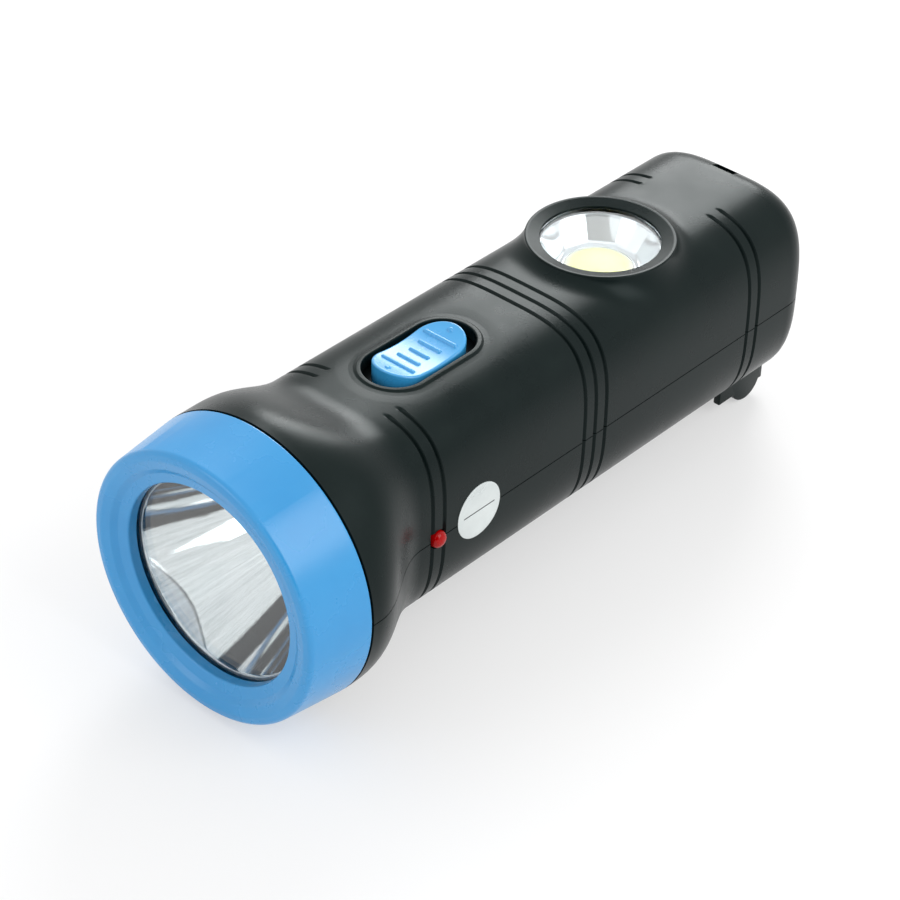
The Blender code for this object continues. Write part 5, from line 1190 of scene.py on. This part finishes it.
# %% Camera
camera_data = bpy.data.cameras.new("camera")
camera_data.lens, camera_data.sensor_width = 120, 36
camera_data.clip_start, camera_data.clip_end = 0.01, 20
camera = bpy.data.objects.new("camera", camera_data)
bpy.context.scene.collection.objects.link(camera)
right, upwards = (0.74541533, 0.6660067, 0.0281258), (-0.41258972, 0.4278214, 0.80420058)
back = (0.52357016, -0.61106786, 0.59369214)
turn = Matrix((right, upwards, back)).transposed().to_4x4()
camera.matrix_world = Matrix.Translation((0.25781, -0.30975, 0.31321)) @ turn
bpy.context.scene.camera = camera
print("camera lens in mm:", camera_data.lens)

# %% [markdown]
# The floor is a pale matt sheet. Where the camera, metal or a clear window looks at it, half of
# what is seen is plain white, and the other half keeps the torch's shadow. From below, the sheet
# can be seen through, so that the underside can be looked at.

# %% Floor
def sheet(name, corners, material):
    """A flat piece of scenery with four corners."""
    mesh = bpy.data.meshes.new(name)
    mesh.from_pydata(corners, [], [(0, 1, 2, 3)])
    mesh.materials.append(material)
    made = bpy.data.objects.new(name, mesh)
    bpy.context.scene.collection.objects.link(made)
    return made


def looked_at(tree):
    """1 on rays from the camera, off metal or through a clear piece, and 0 on light's own way."""
    path = tree.nodes.new("ShaderNodeLightPath")
    seen = calculate(tree, "MAXIMUM", path.outputs["Is Camera Ray"], path.outputs["Is Glossy Ray"])
    return calculate(tree, "MAXIMUM", seen, path.outputs["Is Transmission Ray"])


def either(tree, share, first, second):
    """A mix of two shaders."""
    mix = tree.nodes.new("ShaderNodeMixShader")
    for index, value in enumerate((share, first, second)):
        tree.links.new(value, mix.inputs[index])
    return mix.outputs[0]


WHITENED = 0.5
floor_finish = bpy.data.materials.new("pale floor")
floor_finish.use_nodes = True
tree = floor_finish.node_tree
shader = tree.nodes["Principled BSDF"]
shader.inputs["Base Color"].default_value = (0.86, 0.86, 0.86, 1)
shader.inputs["Roughness"].default_value = 0.7
white = tree.nodes.new("ShaderNodeEmission")
white.inputs["Color"].default_value = (1, 1, 1, 1)
share = calculate(tree, "MULTIPLY", looked_at(tree), WHITENED)
lit = either(tree, share, shader.outputs[0], white.outputs[0])
below = tree.nodes.new("ShaderNodeNewGeometry").outputs["Backfacing"]
clear = tree.nodes.new("ShaderNodeBsdfTransparent").outputs[0]
tree.links.new(either(tree, below, lit, clear), tree.nodes["Material Output"].inputs["Surface"])
floor = sheet("floor", [(-3, -3, 0), (3, -3, 0), (3, 3, 0), (-3, 3, 0)], floor_finish)
floor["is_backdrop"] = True
print("floor corners:", len(floor.data.vertices))

# %% [markdown]
# Three soft boxes light the torch. The one behind gives the grey sheen on the black top, the one
# on the right the light side of the ring, and the one in front opens the shadows. A dark card
# behind the camera stands for the photographer's side of the room. It shows only in mirrors and
# through glass, and gives the plated cup its dark fields.

# %% Lamps and card
def soft_light(name, place, width, height, power):
    """A rectangular lamp that looks from its place at the torch."""
    data = bpy.data.lights.new(name, "AREA")
    data.shape, data.size, data.size_y, data.energy = "RECTANGLE", width, height, power
    lamp = bpy.data.objects.new(name, data)
    bpy.context.scene.collection.objects.link(lamp)
    lamp.location = place
    lamp.visible_camera = False
    lamp.rotation_mode = "QUATERNION"
    lamp.rotation_quaternion = (Vector((0, 0, 0.02)) - Vector(place)).to_track_quat("-Z", "Y")
    return lamp


CARD = [(0.41, -0.68, 0.10), (0.76, -0.27, 0.10), (0.66, -0.23, 0.76), (0.31, -0.64, 0.76)]
card = sheet("dark card", CARD, DARK)
card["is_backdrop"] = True
card.visible_camera = card.visible_diffuse = card.visible_shadow = False
soft_light("soft box behind", (-0.32, 0.50, 0.38), 0.3, 0.3, 2.4)
soft_light("soft box right", (0.9, 0.15, 0.8), 0.8, 0.8, 5.5)
soft_light("soft box front", (-0.35, -0.95, 0.55), 0.5, 0.5, 1.2)
print("lamps:", len(bpy.data.lights))

# %% [markdown]
# The world is a white room. It lights the torch a little below full strength, and shows plain
# white to the camera, to metal and to glass.

# %% World
world = bpy.context.scene.world or bpy.data.worlds.new("studio")
bpy.context.scene.world = world
world.use_nodes = True
tree = world.node_tree
tree.nodes.clear()
output = tree.nodes.new("ShaderNodeOutputWorld")
shades = []
for strength in (0.85, 1.0):
    background = tree.nodes.new("ShaderNodeBackground")
    background.inputs["Color"].default_value = (1, 1, 1, 1)
    background.inputs["Strength"].default_value = strength
    shades.append(background.outputs[0])
tree.links.new(either(tree, looked_at(tree), *shades), output.inputs["Surface"])
bpy.context.scene.view_settings.view_transform = "Standard"
print("world shades:", len(shades))

# %% [markdown]
# The box of the dressed torch is printed. The dressed torch has to stay inside the box of
# its solids.

# %% Size of the dressed torch
low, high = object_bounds()
print("visual box in mm:", [round(v * 1000, 2) for v in high - low])
